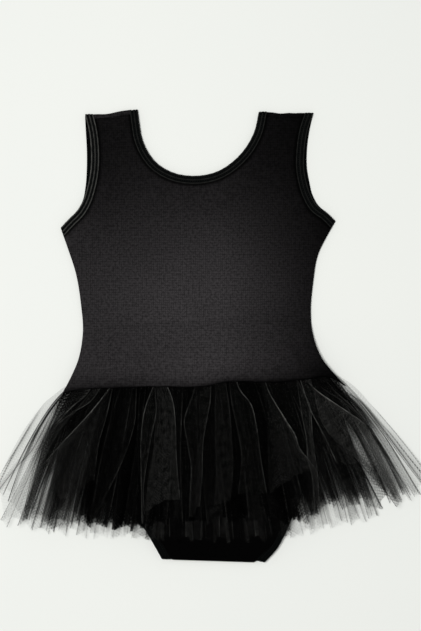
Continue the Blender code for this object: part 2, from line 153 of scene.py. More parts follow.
# Rises from its least to 1 as a smoothstep, past a start and over a length.
def rising(value, start, over, least=0.0):
    return least + (1 - least) * smoothstep((value - start) / over)


# A bell: e to the power of minus the square of the distance over the width.
def bell(distance, width):
    return np.exp(-(distance / width) ** 2)


# Uneven soft noise in one dimension: sines of unrelated lengths, each with its size, its rate,
# how far the phase turns it and where it starts.
def unevenness(t, phase=0.0, sines=((1, 1, 1, 0), (0.6, 2.17, 1.3, 1), (0.4, 4.63, 2.1, 2))):
    return sum(size * np.sin(rate * t + turn * phase + start) for size, rate, turn, start in sines) / 2


# The garment's outlines, each a smooth curve through its points.
waistSeam = smoothCurve([
    (-158.5, -60.5), (-145, -57), (-122, -55.5), (-101, -54), (-77.5, -53), (-51.5, -52.5),
    (-14.5, -53.5), (-2, -51.5), (10.5, -48.5), (48.5, -48), (90.5, -46.5), (124, -44.5), (137.5, -53)])
sideLeft = smoothCurve([
    (-158.5, -60.5), (-150, -44.5), (-142, -25.5), (-137.5, 3.5), (-139.5, 32), (-145, 65.5),
    (-153.5, 92), (-161, 113)])
sideRight = smoothCurve([
    (137.5, -53), (126, -40.5), (112.5, -23.5), (103, 3.5), (101.5, 24.5), (104, 56), (109, 84.5),
    (118.5, 104.5), (127.5, 120)])
armLeftBack = smoothCurve([
    (-161, 113), (-152, 122.5), (-144, 130.5), (-137.5, 142.5), (-135, 155), (-133.5, 176),
    (-133.5, 195), (-134.5, 213.5), (-135.5, 232.5)])
armLeftFront = smoothCurve([
    (-161, 113), (-152, 122.5), (-144, 130.5), (-137, 142.5), (-133, 155), (-129.5, 174),
    (-129, 192.5), (-131, 213.5), (-135.5, 232.5)])
armRightBack = smoothCurve([
    (127.5, 120), (117.5, 129.5), (110, 136), (103, 148.5), (100, 161), (97.5, 176), (97.5, 195),
    (100, 214.5), (104.5, 234)])
armRightFront = smoothCurve([
    (127.5, 120), (117.5, 129.5), (109, 135.5), (101, 148.5), (97, 161), (94.5, 176), (95, 195),
    (98, 214.5), (104.5, 234)])
neckFront = smoothCurve([
    (-80, 237.5), (-78, 222), (-75.5, 207.5), (-70.5, 195), (-60, 181), (-43, 171), (-20, 167.5),
    (3, 172), (22, 184.5), (34.5, 199), (42, 213.5), (47, 235)])
neckBack = smoothCurve([
    (-80, 237.5), (-79, 222), (-77, 206), (-72, 191), (-61, 174.5), (-43, 162.5), (-20, 158),
    (3, 163.5), (23, 178), (36, 195), (43, 212), (47, 235)])
briefsSideLeft = smoothCurve([(-124, -51), (-132, -83), (-136, -116)])
briefsSideRight = smoothCurve([(101, -42), (110, -78), (115, -112)])
legLeft = smoothCurve([
    (-136, -116), (-116, -151), (-92, -182), (-71.5, -204), (-64, -217), (-54.5, -234.5)])
legRight = smoothCurve([(115, -112), (99, -150), (84, -185), (74.5, -207), (66, -223), (53, -238)])


# The pile: heights of what has been laid, from the surface up.

pile = []
pileSizes = {
    "edgeRamp": 14.0, "hemRamp": 42.0, "rampReach": 40, "waveShut": 0.12, "waveFull": 70.0,
    "gatherTuck": 5.0, "netLoft": 1.0, "knitLoft": 1.4, "backLoft": 0.6, "frontLoft": 2.4,
    "liftReach": 75.0, "sideLoss": (3, 5), "outlineSteps": 90}


def seamY(x):
    return np.interp(x, waistSeam[:, 0], waistSeam[:, 1])


def sideX(y, side):
    return np.interp(y, side[:, 1], side[:, 0])


# Distance from points to a closed outline, positive inside it. Worked in batches to save memory.
def distanceInside(x, y, outline, batch=20000):
    shape, points = np.shape(x), np.column_stack([np.ravel(x), np.ravel(y)])
    a, b = outline, np.roll(outline, -1, axis=0)
    edge = b - a
    rise = np.where(edge[:, 1] == 0, 1e-9, edge[:, 1])
    found = []
    for p in np.array_split(points, max(1, len(points) // batch)):
        share = ((p[:, None] - a) * edge).sum(2) / np.maximum((edge ** 2).sum(1), 1e-9)
        nearest = a + np.clip(share, 0, 1)[..., None] * edge
        away = lengths(p[:, None] - nearest).min(axis=1)
        x, y = p[:, :1], p[:, 1:]
        over = (a[:, 1] > y) != (b[:, 1] > y)
        cross = a[:, 0] + (y - a[:, 1]) * (edge[:, 0] / rise)
        inside = (over & (x < cross)).sum(axis=1) % 2 == 1
        found.append(np.where(inside, away, -away))
    return np.concatenate(found).reshape(shape)


# The share of its height that a fold has at a point: little at the seam, growing down the skirt.
def openingOut(x, y):
    return rising(seamY(x) - y, 0, pileSizes["waveFull"], pileSizes["waveShut"])


# Sum of the bands laid so far, each coming down past its edge over a ramp.
def pileHeight(x, y):
    s = pileSizes
    below = rising(seamY(x) - y, 0, s["rampReach"])
    ramp = s["edgeRamp"] + (s["hemRamp"] - s["edgeRamp"]) * below
    height = np.zeros(np.shape(x))
    for outline, band, wave in pile:
        share = smoothstep(1 + distanceInside(x, y, outline) / ramp)
        height = height + share * (band + wave * openingOut(x, y))
    return height


def lay(outline, band, wave=0.0):
    closed = np.vstack([outline, outline[:1]])
    pile.append((resample(closed, pileSizes["outlineSteps"])[:-1], band, wave))


# Meshes.

def newMesh(name, points, faces):
    mesh = bpy.data.meshes.new(name)
    mesh.from_pydata((points * mm).tolist(), [], faces.tolist())
    mesh.shade_smooth()
    return mesh


def paint(mesh, name, values):
    layer = mesh.attributes.new(name, "FLOAT", "POINT")
    layer.data.foreach_set("value", np.ravel(values).astype(np.float32))


# Grids of points (rows, columns, xyz in mm) joined into one mesh; values are point attributes.
def gridMesh(name, grids, closed=False, values=None, uv=None):
    quads = []
    count = 0
    for grid in grids:
        rows, columns = grid.shape[:2]
        index = np.arange(rows * columns).reshape(rows, columns) + count
        count += rows * columns
        right = np.roll(index, -1, axis=1) if closed else index[:, 1:]
        left = index if closed else index[:, :-1]
        quads.append(np.stack([left[:-1], right[:-1], right[1:], left[1:]], axis=-1).reshape(-1, 4))
    quads = np.vstack(quads)
    mesh = newMesh(name, np.vstack([grid.reshape(-1, 3) for grid in grids]), quads)
    for key, data in (values or {}).items():
        paint(mesh, key, data)
    if uv is not None:
        layer = mesh.uv_layers.new(name="cut")
        layer.data.foreach_set("uv", uv.reshape(-1, 2)[quads.ravel()].astype(np.float32).ravel())
    mesh.update()
    return mesh


def addPiece(name, mesh, material, replaced=()):
    piece = bpy.data.objects.new(name, mesh)
    scene.collection.objects.link(piece)
    mesh.materials.append(material)
    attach(piece, "root")
    if replaced:
        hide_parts(*replaced)
    return piece


def mergeSeams(mesh, distance=0.02 * mm):
    work = bmesh.new()
    work.from_mesh(mesh)
    bmesh.ops.remove_doubles(work, verts=work.verts, dist=distance)
    bmesh.ops.recalc_face_normals(work, faces=work.faces)
    work.to_mesh(mesh)
    work.free()
    mesh.shade_smooth()


# Materials.

# "#rrggbb" in sRGB to linear red, green, blue and full alpha.
def linearColour(text):
    value = np.array([int(text[i:i + 2], 16) for i in (1, 3, 5)]) / 255
    linear = np.where(value <= 0.04045, value / 12.92, ((value + 0.055) / 1.055) ** 2.4)
    return (*linear.tolist(), 1.0)


# Adds a node with its settings and its inputs, each a constant or another node's socket, and
# gives back the output asked for, or the node itself where output is None.
def addNode(tree, kind, settings=None, inputs=None, output=0):
    node = tree.nodes.new("ShaderNode" + kind)
    for key, value in (settings or {}).items():
        setattr(node, key, value)
    for key, value in (inputs or {}).items():
        if isinstance(value, bpy.types.NodeSocket):
            tree.links.new(value, node.inputs[key])
        else:
            node.inputs[key].default_value = value
    return node if output is None else node.outputs[output]


def calculate(tree, operation, *values, clamp=False):
    return addNode(tree, "Math", {"operation": operation, "use_clamp": clamp}, dict(enumerate(values)))


def multiply(tree, a, b, clamp=False):
    return calculate(tree, "MULTIPLY", a, b, clamp=clamp)


def objectPlace(tree):
    return addNode(tree, "TexCoord", output="Object")


def pointValue(tree, name):
    return addNode(tree, "Attribute", {"attribute_name": name}, output="Fac")


# Carries a value from one span over to another, held at its ends.
def remap(tree, value, span, to):
    return addNode(tree, "MapRange", None, {"Value": value, "From Min": span[0], "From Max": span[1],
                                            "To Min": to[0], "To Max": to[1]})


def addNoise(tree, place, scale, detail=2.0):
    return addNode(tree, "TexNoise", None, {"Vector": place, "Scale": scale, "Detail": detail}, "Fac")


def newMaterial(name, look):
    material = bpy.data.materials.new(name)
    material.use_nodes = True
    tree = material.node_tree
    shader = tree.nodes["Principled BSDF"]
    shader.inputs["Roughness"].default_value = look["roughness"]
    shader.inputs["Specular IOR Level"].default_value = look["specular"]
    return material, tree, shader


# The base colour runs from the look's first colour to its second as the share does from 0 to 1.
def setColour(tree, shader, look, share, clamp=True):
    first, second = (linearColour(colour) for colour in look["colours"])
    mixed = addNode(tree, "Mix", {"data_type": "RGBA", "clamp_factor": clamp},
                    {0: share, 6: first, 7: second}, 2)
    tree.links.new(mixed, shader.inputs["Base Color"])


def setBump(tree, shader, look, height):
    bump = addNode(tree, "Bump", None, {"Height": height, "Strength": look["bump"],
                                        "Distance": look["relief"] * mm})
    tree.links.new(bump, shader.inputs["Normal"])


# A plain material whose colour wavers between two with soft noise.
def speckledMaterial(name, look):
    material, tree, shader = newMaterial(name, look)
    setColour(tree, shader, look, addNoise(tree, objectPlace(tree), look["speckScale"]))
    return material


# The jersey's colour is mixed between these two by its painted light and shade.
jerseyLook = {
    "colours": ("#020202", "#2f2d2e"), "roughness": 0.9, "specular": 0.005, "walePitch": 2.2,
    "coursePitch": 2.5, "stretch": 3.5, "stitchRise": 0.26, "grainScale": 430.0, "contrast": 0.42,
    "cloudScale": 16.0, "clouds": (0.93, 1.07), "relief": 0.10, "bump": 0.4}


# Cotton and elastane single jersey, dyed black: matt, with wales up the cloth. Its colour carries
# painted light and shade from a point attribute: a painted sheen over the belly that fades to
# painted shade towards the straps, the sides, the waist seam and the bindings.
def stretchJersey():
    look = jerseyLook
    material, tree, shader = newMaterial("stretchJerseyBlack", look)
    place = objectPlace(tree)
    # wales and courses are about 0.8 mm apart on the real cloth; they are drawn coarser so that
    # they show, and run unevenly, as in cloth that has been stretched. A wave texture goes through
    # 20 times its scale, in radians, for each unit of length.
    rows = [addNode(tree, "TexWave", {"bands_direction": direction},
                    {"Vector": place, "Scale": 2 * math.pi / (20 * look[pitch] * mm),
                     "Distortion": look["stretch"], "Detail": 2.0, "Detail Scale": 0.4}, "Fac")
            for direction, pitch in (("X", "walePitch"), ("Y", "coursePitch"))]
    grain = addNoise(tree, place, look["grainScale"])
    relief = calculate(tree, "MULTIPLY_ADD", multiply(tree, *rows), look["stitchRise"], grain)
    cloud = addNoise(tree, place, look["cloudScale"], detail=4.0)
    # Painted light and shade, varied by soft random patches.
    patchy = multiply(tree, pointValue(tree, "paintedLightShade"), remap(tree, cloud, (0.3, 0.7), look["clouds"]))
    fine = remap(tree, relief, (0.36, 0.76), (1 - look["contrast"], 1 + look["contrast"]))
    setColour(tree, shader, look, multiply(tree, patchy, fine), clamp=False)
    setBump(tree, shader, look, relief)
    return material


# The binding's colour runs towards its second colour where its ridges get their painted highlight.
bindingLook = {
    "colours": ("#030404", "#4c4c49"), "roughness": 0.85, "specular": 0.02, "grainScale": 260.0,
    "uneven": (0.55, 1.3), "relief": 0.1, "bump": 0.4}


# The same jersey folded four times: denser and darker, with a painted highlight on its ridges
# where they would catch the light. A point attribute carries it: 1 on a ridge and 0 in a needle
# groove.
def foldedJersey():
    look = bindingLook
    material, tree, shader = newMaterial("foldedJerseyBlack", look)
    grain = addNoise(tree, objectPlace(tree), look["grainScale"], detail=3.0)
    uneven = remap(tree, grain, (0.3, 0.7), look["uneven"])
    setColour(tree, shader, look, multiply(tree, pointValue(tree, "paintedRidgeLight"), uneven, clamp=True))
    setBump(tree, shader, look, grain)
    return material


# The net's colour runs from the first colour to the second with its painted light.
netLook = {
    "colours": ("#010101", "#6e6e6b"), "roughness": 0.8, "specular": 0.0, "meshPitch": 3.4,
    "yarns": (1.75, 0.5), "streakWidth": 2.0, "streakLength": 90.0, "streaks": (0.7, 1.36),
    "speckScale": 170.0, "specks": (0.3, 1.9)}


# Nylon bobbin tulle: black yarns with open holes, so it darkens what is behind it. Where a fold
# would turn its yarns to the light, the grey is painted into its colour. Point attributes: "cover",
# the share of the view that the yarns fill, and "glow", the painted light and highlights that set how
# grey the yarns are. The real mesh is about 1.2 mm; it is drawn three times as coarse so that it
# shows.
def nylonTulle():
    look = netLook
    material, tree, shader = newMaterial("nylonTulleBlack", look)
    cut = addNode(tree, "UVMap", {"uv_map": "cut"}, output="UV")      # metres along and down the strip
    along, down = addNode(tree, "SeparateXYZ", None, {0: cut}, None).outputs[:2]
    turns = math.pi / (look["meshPitch"] * mm)
    diagonals = [calculate(tree, operation, along, down) for operation in ("ADD", "SUBTRACT")]
    waves = [calculate(tree, "SINE", multiply(tree, way, turns)) for way in diagonals]
    yarns = remap(tree, calculate(tree, "ABSOLUTE", multiply(tree, *waves)), (0.0, 0.55), look["yarns"])
    scale = (1 / mm / look["streakWidth"], 1 / mm / look["streakLength"], 1.0)
    streak = addNoise(tree, addNode(tree, "Mapping", None, {"Vector": cut, "Scale": scale}), 1.0)
    dense = multiply(tree, remap(tree, streak, (0.34, 0.68), look["streaks"]), yarns)
    alpha = multiply(tree, pointValue(tree, "cover"), dense, clamp=True)
    tree.links.new(alpha, shader.inputs["Alpha"])
    speck = addNoise(tree, cut, look["speckScale"], detail=3.0)
    specks = remap(tree, speck, (0.32, 0.68), look["specks"])
    # The colour follows the painted light and highlights, with random specks.
    setColour(tree, shader, look, multiply(tree, pointValue(tree, "glow"), specks, clamp=True))
    return material


# Spun polyester sewing thread: a little smoother than the cloth.
threadLook = {"colours": ("#060606", "#161616"), "roughness": 0.6, "specular": 0.08, "speckScale": 1500}

jersey, binding, tulle = stretchJersey(), foldedJersey(), nylonTulle()
thread = speckledMaterial("polyesterThreadBlack", threadLook)


# Bodice.

backZ = knitWall / 2
backBindZ = bindWall / 2
frontBindZ = 1.5 * bindWall + seamGap
bodiceSizes = {
    "wall": 0.95, "frontRoom": 5.5, "backRoom": 2.4, "neckShares": (0.30, 0.585),
    "seamEnds": 0.06, "strapEnds": 0.11, "sideEnds": 0.09,
    "frontSteps": (34, 56, 96, 74), "backSteps": (20, 44, 60, 48), "shoulderRoll": 5.5,
    "rollSteps": 12, "strapSags": ((-112, 2.3, 9), (70, 1.8, 6), (84, 0.7, 4)), "waistRoll": 3.2,
    "waistDrop": 2.6, "waistWave": 0.5, "waveLength": 11, "waveReach": 22, "edgeLength": 19,
    "sideTurn": 3.0, "sideTop": 119, "sideDrop": 1.6, "sideKept": 0.9, "bindReach": (24, 48),
    "bindPress": 0.35, "seamOver": 2, "liftFull": 3, "unevenRise": 0.25, "unevenLengths": (17, 41)}
# soft creases in the front: from x, y to x, y, height (below zero a trough) and half width
bodiceCreases = [
    (-148, 96, -108, 70, -0.7, 5), (-140, 84, -96, 52, 0.5, 6), (-132, 104, -100, 92, 0.4, 4),
    (118, 98, 84, 74, -0.6, 5), (108, 112, 78, 96, 0.45, 4), (112, 84, 92, 50, 0.5, 6),
    (-120, -50, -112, -22, 0.6, 4), (-96, -50, -92, -28, -0.5, 4), (-62, -48, -60, -20, 0.55, 4),
    (-30, -49, -31, -26, -0.5, 4), (4, -47, 3, -18, 0.6, 5), (34, -44, 36, -26, -0.5, 4),
    (66, -44, 70, -16, 0.6, 5), (94, -42, 92, -22, -0.5, 4), (-118, 30, -70, 22, 0.35, 9),
    (40, 10, 92, 22, -0.3, 9), (-60, 120, 20, 112, 0.3, 10), (-102, 196, -98, 216, 0.4, 4),
    (68, 190, 74, 214, -0.4, 4)]
# Where the jersey's painted sheen fades: upwards, to either side, and in painted shades beside the
# seam and the bindings, each how much and how wide. A painted highlight lies along the waist edge
# left of the middle.
paintedLightSizes = {
    "least": 0.37, "top": 214, "fall": 180, "leftLoss": 0.18, "leftFrom": -36, "leftOver": 90,
    "rightLoss": 0.56, "rightFrom": 2, "rightOver": 94, "rightPower": 1.25, "rightLeast": 0.1,
    "seamShades": ((0.45, 3), (0.28, 13)), "bindShade": (0.7, 1.6), "bindFrom": 0.8, "power": 1.7,
    "hemLight": 0.5, "hemUp": 1.6, "hemWidth": 1.0, "lightX": -62, "lightReach": 26, "briefs": 0.012,
    "briefsFrom": -4, "rolledUp": 1.6}

edgesFront = np.vstack([armLeftFront, neckFront, armRightFront])[::4]


# Distance in plan from the front's neck and arm edges. Worked in parts to save memory.
def edgeDistance(x, y, parts=6):
    away = np.full(np.shape(x), np.inf)
    for edge in np.array_split(edgesFront, parts):
        away = np.minimum(away, lengths(np.stack([x, y], -1)[..., None, :] - edge).min(axis=-1))
    return away


# Painted light and shade in the jersey's colour: a painted sheen full over the belly, falling off
# towards the straps, both sides, most of all the right one, painted shade beside the waist seam and
# the bindings, and a painted highlight along the waist edge. Below the seam it is darkest.
def paintLightAndShade(mesh, rollHighlight=0.0):
    co = np.empty(len(mesh.vertices) * 3)
    mesh.vertices.foreach_get("co", co)
    x, y, z = co.reshape(-1, 3).T / mm
    s = paintedLightSizes
    upper = rising(s["top"] - y, 0, s["fall"], s["least"])
    left = 1 - s["leftLoss"] * np.clip((s["leftFrom"] - x) / s["leftOver"], 0, 1)
    outRight = np.clip((x - s["rightFrom"]) / s["rightOver"], 0, None)
    tone = upper * left * np.clip(1 - s["rightLoss"] * outRight ** s["rightPower"], s["rightLeast"], 1)
    overSeam = y - seamY(x)
    beside = edgeDistance(x, y) - bindWidth - s["bindFrom"]
    # Painted shade beside the waist seam and beside the bindings.
    for away, (much, wide) in zip((overSeam, overSeam, beside), (*s["seamShades"], s["bindShade"])):
        tone = tone * (1 - much * bell(away, wide))
    # A painted highlight along the rolled waist edge, left of the middle.
    hemLight = bell(overSeam - s["hemUp"], s["hemWidth"]) * bell(x - s["lightX"], s["lightReach"])
    above = tone ** s["power"] + s["hemLight"] * hemLight
    paintedLightShade = np.where(overSeam > s["briefsFrom"], above, s["briefs"])
    # Where a roll value is given, the left strap's roll over the shoulder gets that painted highlight.
    rolled = (z > s["rolledUp"]) & (rollHighlight > 0) & (x < 0)
    paint(mesh, "paintedLightShade", np.where(rolled, rollHighlight, paintedLightShade))


# A jersey panel: its grids as one mesh with a wall, its colour painted with light and shade.
def addPanel(name, node, grids, wall, rollHighlight=0.0):
    mesh = gridMesh(name, grids)
    mergeSeams(mesh)
    paintLightAndShade(mesh, rollHighlight)
    piece = addPiece(name, mesh, jersey, [node])
    shell = piece.modifiers.new("wall", "SOLIDIFY")
    shell.thickness = wall * mm
    shell.offset = 0
    return piece


# Grid lines, closer at both ends: a straight ramp less one sine wave.
def closerAtEnds(count, amount):
    even = np.linspace(0, 1, count)
    return even - amount * np.sin(2 * np.pi * even)


# The body and the two straps as Coons patches between the seam, sides, armholes and neck.
def panelGrids(neck, armLeft, armRight, room, steps):
    acrossStrap, upStrap, upBody, acrossNeck = steps

    def straight(a, b):
        return atShares(np.array([a, b]), closerAtEnds(acrossStrap + 1, bodiceSizes["strapEnds"]))

    edgeLeft = upTo(insetCurve(armLeft, -1), armLeft[-1, 1] - room)
    edgeRight = upTo(insetCurve(armRight, 1), armRight[-1, 1] - room)
    bodyLeft, edgeLeft = meetCurves(sideLeft, edgeLeft)
    bodyRight, edgeRight = meetCurves(sideRight, edgeRight)
    moved = neck - edgeIn * leftNormals(neck)
    moved = between(moved, neck[0, 1] - room, neck[-1, 1] - room)
    innerLeft, rest = splitCurve(moved, bodiceSizes["neckShares"][0])
    neckBottom, innerRight = splitCurve(rest, bodiceSizes["neckShares"][1])
    baseLeft = straight(edgeLeft[0], innerLeft[-1])
    baseRight = straight(innerRight[0], edgeRight[0])
    top = np.vstack([baseLeft, resample(neckBottom, acrossNeck)[1:], baseRight[1:]])
    seam = atShares(waistSeam, closerAtEnds(len(top), bodiceSizes["seamEnds"]))
    upSide = closerAtEnds(upBody, bodiceSizes["sideEnds"])
    return [coonsPatch(seam, top, atShares(bodyLeft, upSide), atShares(bodyRight, upSide)),
            coonsPatch(baseLeft, straight(edgeLeft[-1], innerLeft[0]),
                       resample(edgeLeft, upStrap), resample(innerLeft[::-1], upStrap)),
            coonsPatch(baseRight, straight(innerRight[-1], edgeRight[-1]),
                       resample(innerRight, upStrap), resample(edgeRight, upStrap))]


# Sum of ridges: each a bell across its line that dies away past both ends.
def creaseHeight(x, y, creases):
    height = np.zeros(np.shape(x))
    for x0, y0, x1, y1, rise, width in creases:
        run = np.array([x1 - x0, y1 - y0], float)
        length = np.hypot(*run)
        along = ((x - x0) * run[0] + (y - y0) * run[1]) / length
        across = ((x - x0) * run[1] - (y - y0) * run[0]) / length
        past = np.maximum(np.maximum(-along, along - length), 0)
        height = height + rise * bell(across, width) * bell(past, 1.5 * width)
    return height


# The front's height over its own back, rising to the bindings near its neck and arm edges.
def frontFlatZ(x, y):
    lying = 1.5 * knitWall + seamGap
    near, far = bodiceSizes["bindReach"]
    high = frontBindZ - bodiceSizes["bindPress"]
    return lying + (high - lying) * smoothstep((far - edgeDistance(x, y)) / (far - near))


# Flat on the back, lifted by the gathers towards the seam, creased, its sides turned down.
def frontZ(x, y):
    s = bodiceSizes
    lying = knitWall + pileSizes["backLoft"]
    left, right = sideX(y, sideLeft), sideX(y, sideRight)
    share = np.clip((x - left) / (right - left), 0, 1)
    at = sideLeft[0, 0] + share * (sideRight[0, 0] - sideLeft[0, 0])
    tuck = pileSizes["gatherTuck"] + s["seamOver"]
    gathers = pileHeight(at, seamY(at) - 1) - lying
    up = (y - seamY(x) - tuck) / (pileSizes["liftReach"] - tuck)
    lift = np.maximum(gathers * (1 - smoothstep(up)), pileHeight(x, y) - lying)
    lifted = smoothstep(lift / s["liftFull"])
    z = frontFlatZ(x, y) + lift + pileSizes["frontLoft"] * lifted
    alongX, alongY = s["unevenLengths"]
    uneven = s["unevenRise"] * unevenness(x / alongX + y / alongY)
    z = z + creaseHeight(x, y, bodiceCreases) + uneven * lifted
    sideway = np.minimum(x - left, right - x)
    turn = bell(np.maximum(sideway, 0), s["sideTurn"]) * (y < s["sideTop"])
    return z - turn * np.minimum(z - lying - s["sideKept"], s["sideDrop"])


# The waist edge rolls under: the last rows bend down and back in a quarter turn.
def rollWaist(grid):
    s = bodiceSizes
    x, y, z = grid[..., 0], grid[..., 1], grid[..., 2]
    above = y - seamY(x)
    share = np.clip(1 - above / s["waistRoll"], 0, 1)
    drop = s["waistDrop"] * (1 - np.sqrt(np.clip(1 - share ** 2, 0, 1)))
    wave = s["waistWave"] * unevenness(x / s["waveLength"], 0.7)
    wave = wave * smoothstep(1 - above / s["waveReach"])
    return np.dstack([x, y + share * unevenness(x / s["edgeLength"], 2.0), z - drop + wave])


# Flat, its straps going on in a half turn over the shoulders and a little way down in front.
def layBodiceBack():
    s = bodiceSizes
    flat = panelGrids(neckBack, armLeftBack, armRightBack, s["backRoom"], s["backSteps"])
    grids = [np.dstack([g, np.full(g.shape[:2], backZ)]) for g in flat]
    for i in (1, 2):
        last = grids[i][-1]
        radius = (frontFlatZ(last[:, 0], last[:, 1]) - backZ) / 2
        drawnIn = last[:, 0] - np.linspace(-1, 1, len(last))
        sag = sum(drop * bell(drawnIn - at, wide) for at, drop, wide in s["strapSags"])
        over = [np.column_stack([drawnIn, last[:, 1] + radius * np.sin(a) - sag * np.sin(a / 2),
                                 backZ + radius * (1 - np.cos(a))])
                for a in np.linspace(0, np.pi, s["rollSteps"] + 1)[1:]]
        end = over[-1] - [0, s["shoulderRoll"] - s["backRoom"] - 0.1, 0]
        grids[i] = np.concatenate([grids[i], np.array(over + [end])])
    # The left strap's roll over the shoulder is painted lighter: a painted highlight.
    piece = addPanel("bodiceBack", "bodice_back", grids, s["wall"], rollHighlight=0.4)
    outline = [waistSeam, sideRight, armRightBack, neckBack[::-1], armLeftBack[::-1], sideLeft[::-1]]
    lay(np.vstack(outline), knitWall + pileSizes["backLoft"])


def layBodiceFront():
    s = bodiceSizes
    flat = panelGrids(neckFront, armLeftFront, armRightFront, s["frontRoom"], s["frontSteps"])
    grids = [np.dstack([g, frontZ(g[..., 0], g[..., 1])]) for g in flat]
    grids[0] = rollWaist(grids[0])
    piece = addPanel("bodiceFront", "bodice_front", grids, s["wall"])


# Bindings.

# its painted ridge highlights are given by place across it, half width and how much
bindSizes = {
    "needles": (2.6, 6.0), "groove": 0.42, "grooveWidth": 0.6, "squareness": (5, 0.4), "ripple": 0.16,
    "rippleLength": 7.5, "rippleHigh": 0.35, "rippleWide": 0.8,
    "ridges": ((0.5, 0.65, 1.0), (4.3, 0.5, 0.7), (7.9, 0.55, 0.9)), "across": 30, "foldSteps": 11,
    "skewFade": 11.0, "neckSteps": 190, "armSteps": 110, "stitch": 2.4, "stitchLength": 1.7,
    "stitchRadius": 0.22, "stitchHeight": 0.8, "threadUp": 0.12}


# A closed section: a flat oval whose upper face dips at the two needle rows. Inward, up, painted
# ridge highlight.
def bindingSection(wall):
    s = bindSizes

    def flank(inward):
        sharp, soft = s["squareness"]
        return wall / 2 * np.clip(1 - np.abs(2 * inward / bindWidth - 1) ** sharp, 0, 1) ** soft

    inward = bindWidth * (1 - np.cos(np.linspace(0, np.pi, s["across"]))) / 2
    dip = sum(bell(inward - n, s["grooveWidth"]) for n in s["needles"])
    top = flank(inward) - s["groove"] * dip * (wall / bindWall)
    below = inward[::-1][2:-2:4]
    paintedRidgeLight = sum(much * bell(inward - at, wide) for at, wide, much in s["ridges"])
    return np.column_stack([np.r_[inward, below], np.r_[top, -flank(below)], np.r_[paintedRidgeLight, 0 * below]])


# The section carried along the front edge, round a fold, back along the back edge and round again.
# At its two ends its inner edge slides on along the binding by skew, so that an end is cut aslant.
# Paths and heights are each front, back.
def foldedBinding(name, paths, heights, side, wall, skew, ridgeLightStrength):
    s, (front, back) = bindSizes, paths
    frontZs, backZs = (np.broadcast_to(z, len(path)) for z, path in zip(heights, paths))

    def fold(end, inward, out, top, bottom):
        angle = np.linspace(0, np.pi, s["foldSteps"] + 2)[1:-1]
        radius, middle = (top - bottom) / 2, (top + bottom) / 2
        up = np.column_stack([out[0] * np.sin(angle), out[1] * np.sin(angle), np.cos(angle)])
        return [*end, middle] + radius * up, np.tile([*inward, 0], (len(angle), 1)), up

    def run(edge, z, up):
        inward = np.column_stack([side * leftNormals(edge), np.zeros(len(edge))])
        return np.column_stack([edge, z]), inward, np.tile([0, 0, up], (len(edge), 1)).astype(float)

    top, under = run(front, frontZs, 1), run(back, backZs, -1)
    far = fold(front[-1], top[1][-1][:2], unit(front[-1] - front[-2]), frontZs[-1], backZs[-1])
    near = fold(front[0], top[1][0][:2], unit(front[0] - front[1]), frontZs[0], backZs[0])
    parts = [top, far, tuple(p[::-1] for p in under), tuple(p[::-1] for p in near)]
    where, inward, up = (np.vstack([p[i] for p in parts]) for i in range(3))
    section = bindingSection(wall)
    onTop = (np.arange(len(where)) < len(front)).astype(float)
    turns = 2 * np.pi * lengthAlong(where) / s["rippleLength"]
    ripple = (s["ripple"] * unevenness(turns) * onTop)[:, None, None]
    rings = (where[:, None] + inward[:, None] * section[None, :, :1]
             + up[:, None] * (section[None, :, 1:2] * (1 + s["rippleHigh"] * ripple)))
    rings[..., :2] += inward[:, None, :2] * ripple * s["rippleWide"]
    forward = np.column_stack([side * inward[:, 1], -side * inward[:, 0]])
    slide = sum(amount * bell(lengths(where[:, :2] - end), s["skewFade"])
                for amount, end in ((-skew[0], front[0]), (skew[1], front[-1])))
    rings[..., :2] += forward[:, None] * (slide[:, None] * section[None, :, 0] / bindWidth)[..., None]
    # The painted ridge highlight, as strong on each binding as it is given.
    paintedRidgeLight = ridgeLightStrength * np.tile(section[:, 2], (len(rings) + 1, 1))
    mesh = gridMesh(name, [np.concatenate([rings, rings[:1]])], closed=True, values={"paintedRidgeLight": paintedRidgeLight})
    mergeSeams(mesh, 0.001 * mm)
    return mesh, rings[:len(front)], section


# Stitches as small spindles, six-sided with two points, one after another along a needle row.
def addStitches(name, lines):
    s, points, quads = bindSizes, [], []
    count = 0
    around = np.linspace(0, 2 * np.pi, 7)[:-1, None]
    for line in lines:
        centre = resample(line, max(4, int(lengthAlong(line)[-1] / s["stitch"])))
        tangent = unit(np.gradient(centre, axis=0))
        sideway = unit(np.cross(tangent, [0, 0, 1.0]))
        lift = np.cross(sideway, tangent)
        ring = (sideway[:, None] * np.cos(around)
                + lift[:, None] * np.sin(around) * s["stitchHeight"])
        rings = [centre[:, None] + tangent[:, None] * share * s["stitchLength"]
                 + ring * s["stitchRadius"] * size
                 for share, size in ((-0.5, 0.35), (-0.25, 1.0), (0.25, 1.0), (0.5, 0.35))]
        block = np.stack(rings, axis=1)                          # stitch, ring, corner, xyz
        index = np.arange(block[..., 0].size).reshape(block.shape[:3]) + count
        count += index.size
        after = np.roll(index, -1, axis=2)
        sides = np.stack([index[:, :-1], after[:, :-1], after[:, 1:], index[:, 1:]], -1)
        points.append(block.reshape(-1, 3))
        quads.append(sides.reshape(-1, 4))
        for end in (index[:, 0, ::-1], index[:, -1]):
            quads.extend(np.stack([end[:, 0], *end[:, i:i + 3].T], -1) for i in (1, 3))
    addPiece(name, newMesh(name, np.vstack(points), np.vstack(quads)), thread)


# A binding and its stitches, which lie just above the floors of the two needle grooves.
def sewBinding(name, node, flat, *shape):
    s = bindSizes
    mesh, rings, section = foldedBinding(f"{name}Binding", *shape)
    piece = addPiece(f"{name}Binding", mesh, binding, [node])
    inward = section[:s["across"], 0]
    grooves = [np.abs(inward - n).argmin() for n in s["needles"]]
    addStitches(f"{name}Stitches", [rings[2:-2, i] + [0, 0, s["threadUp"]] for i in grooves])


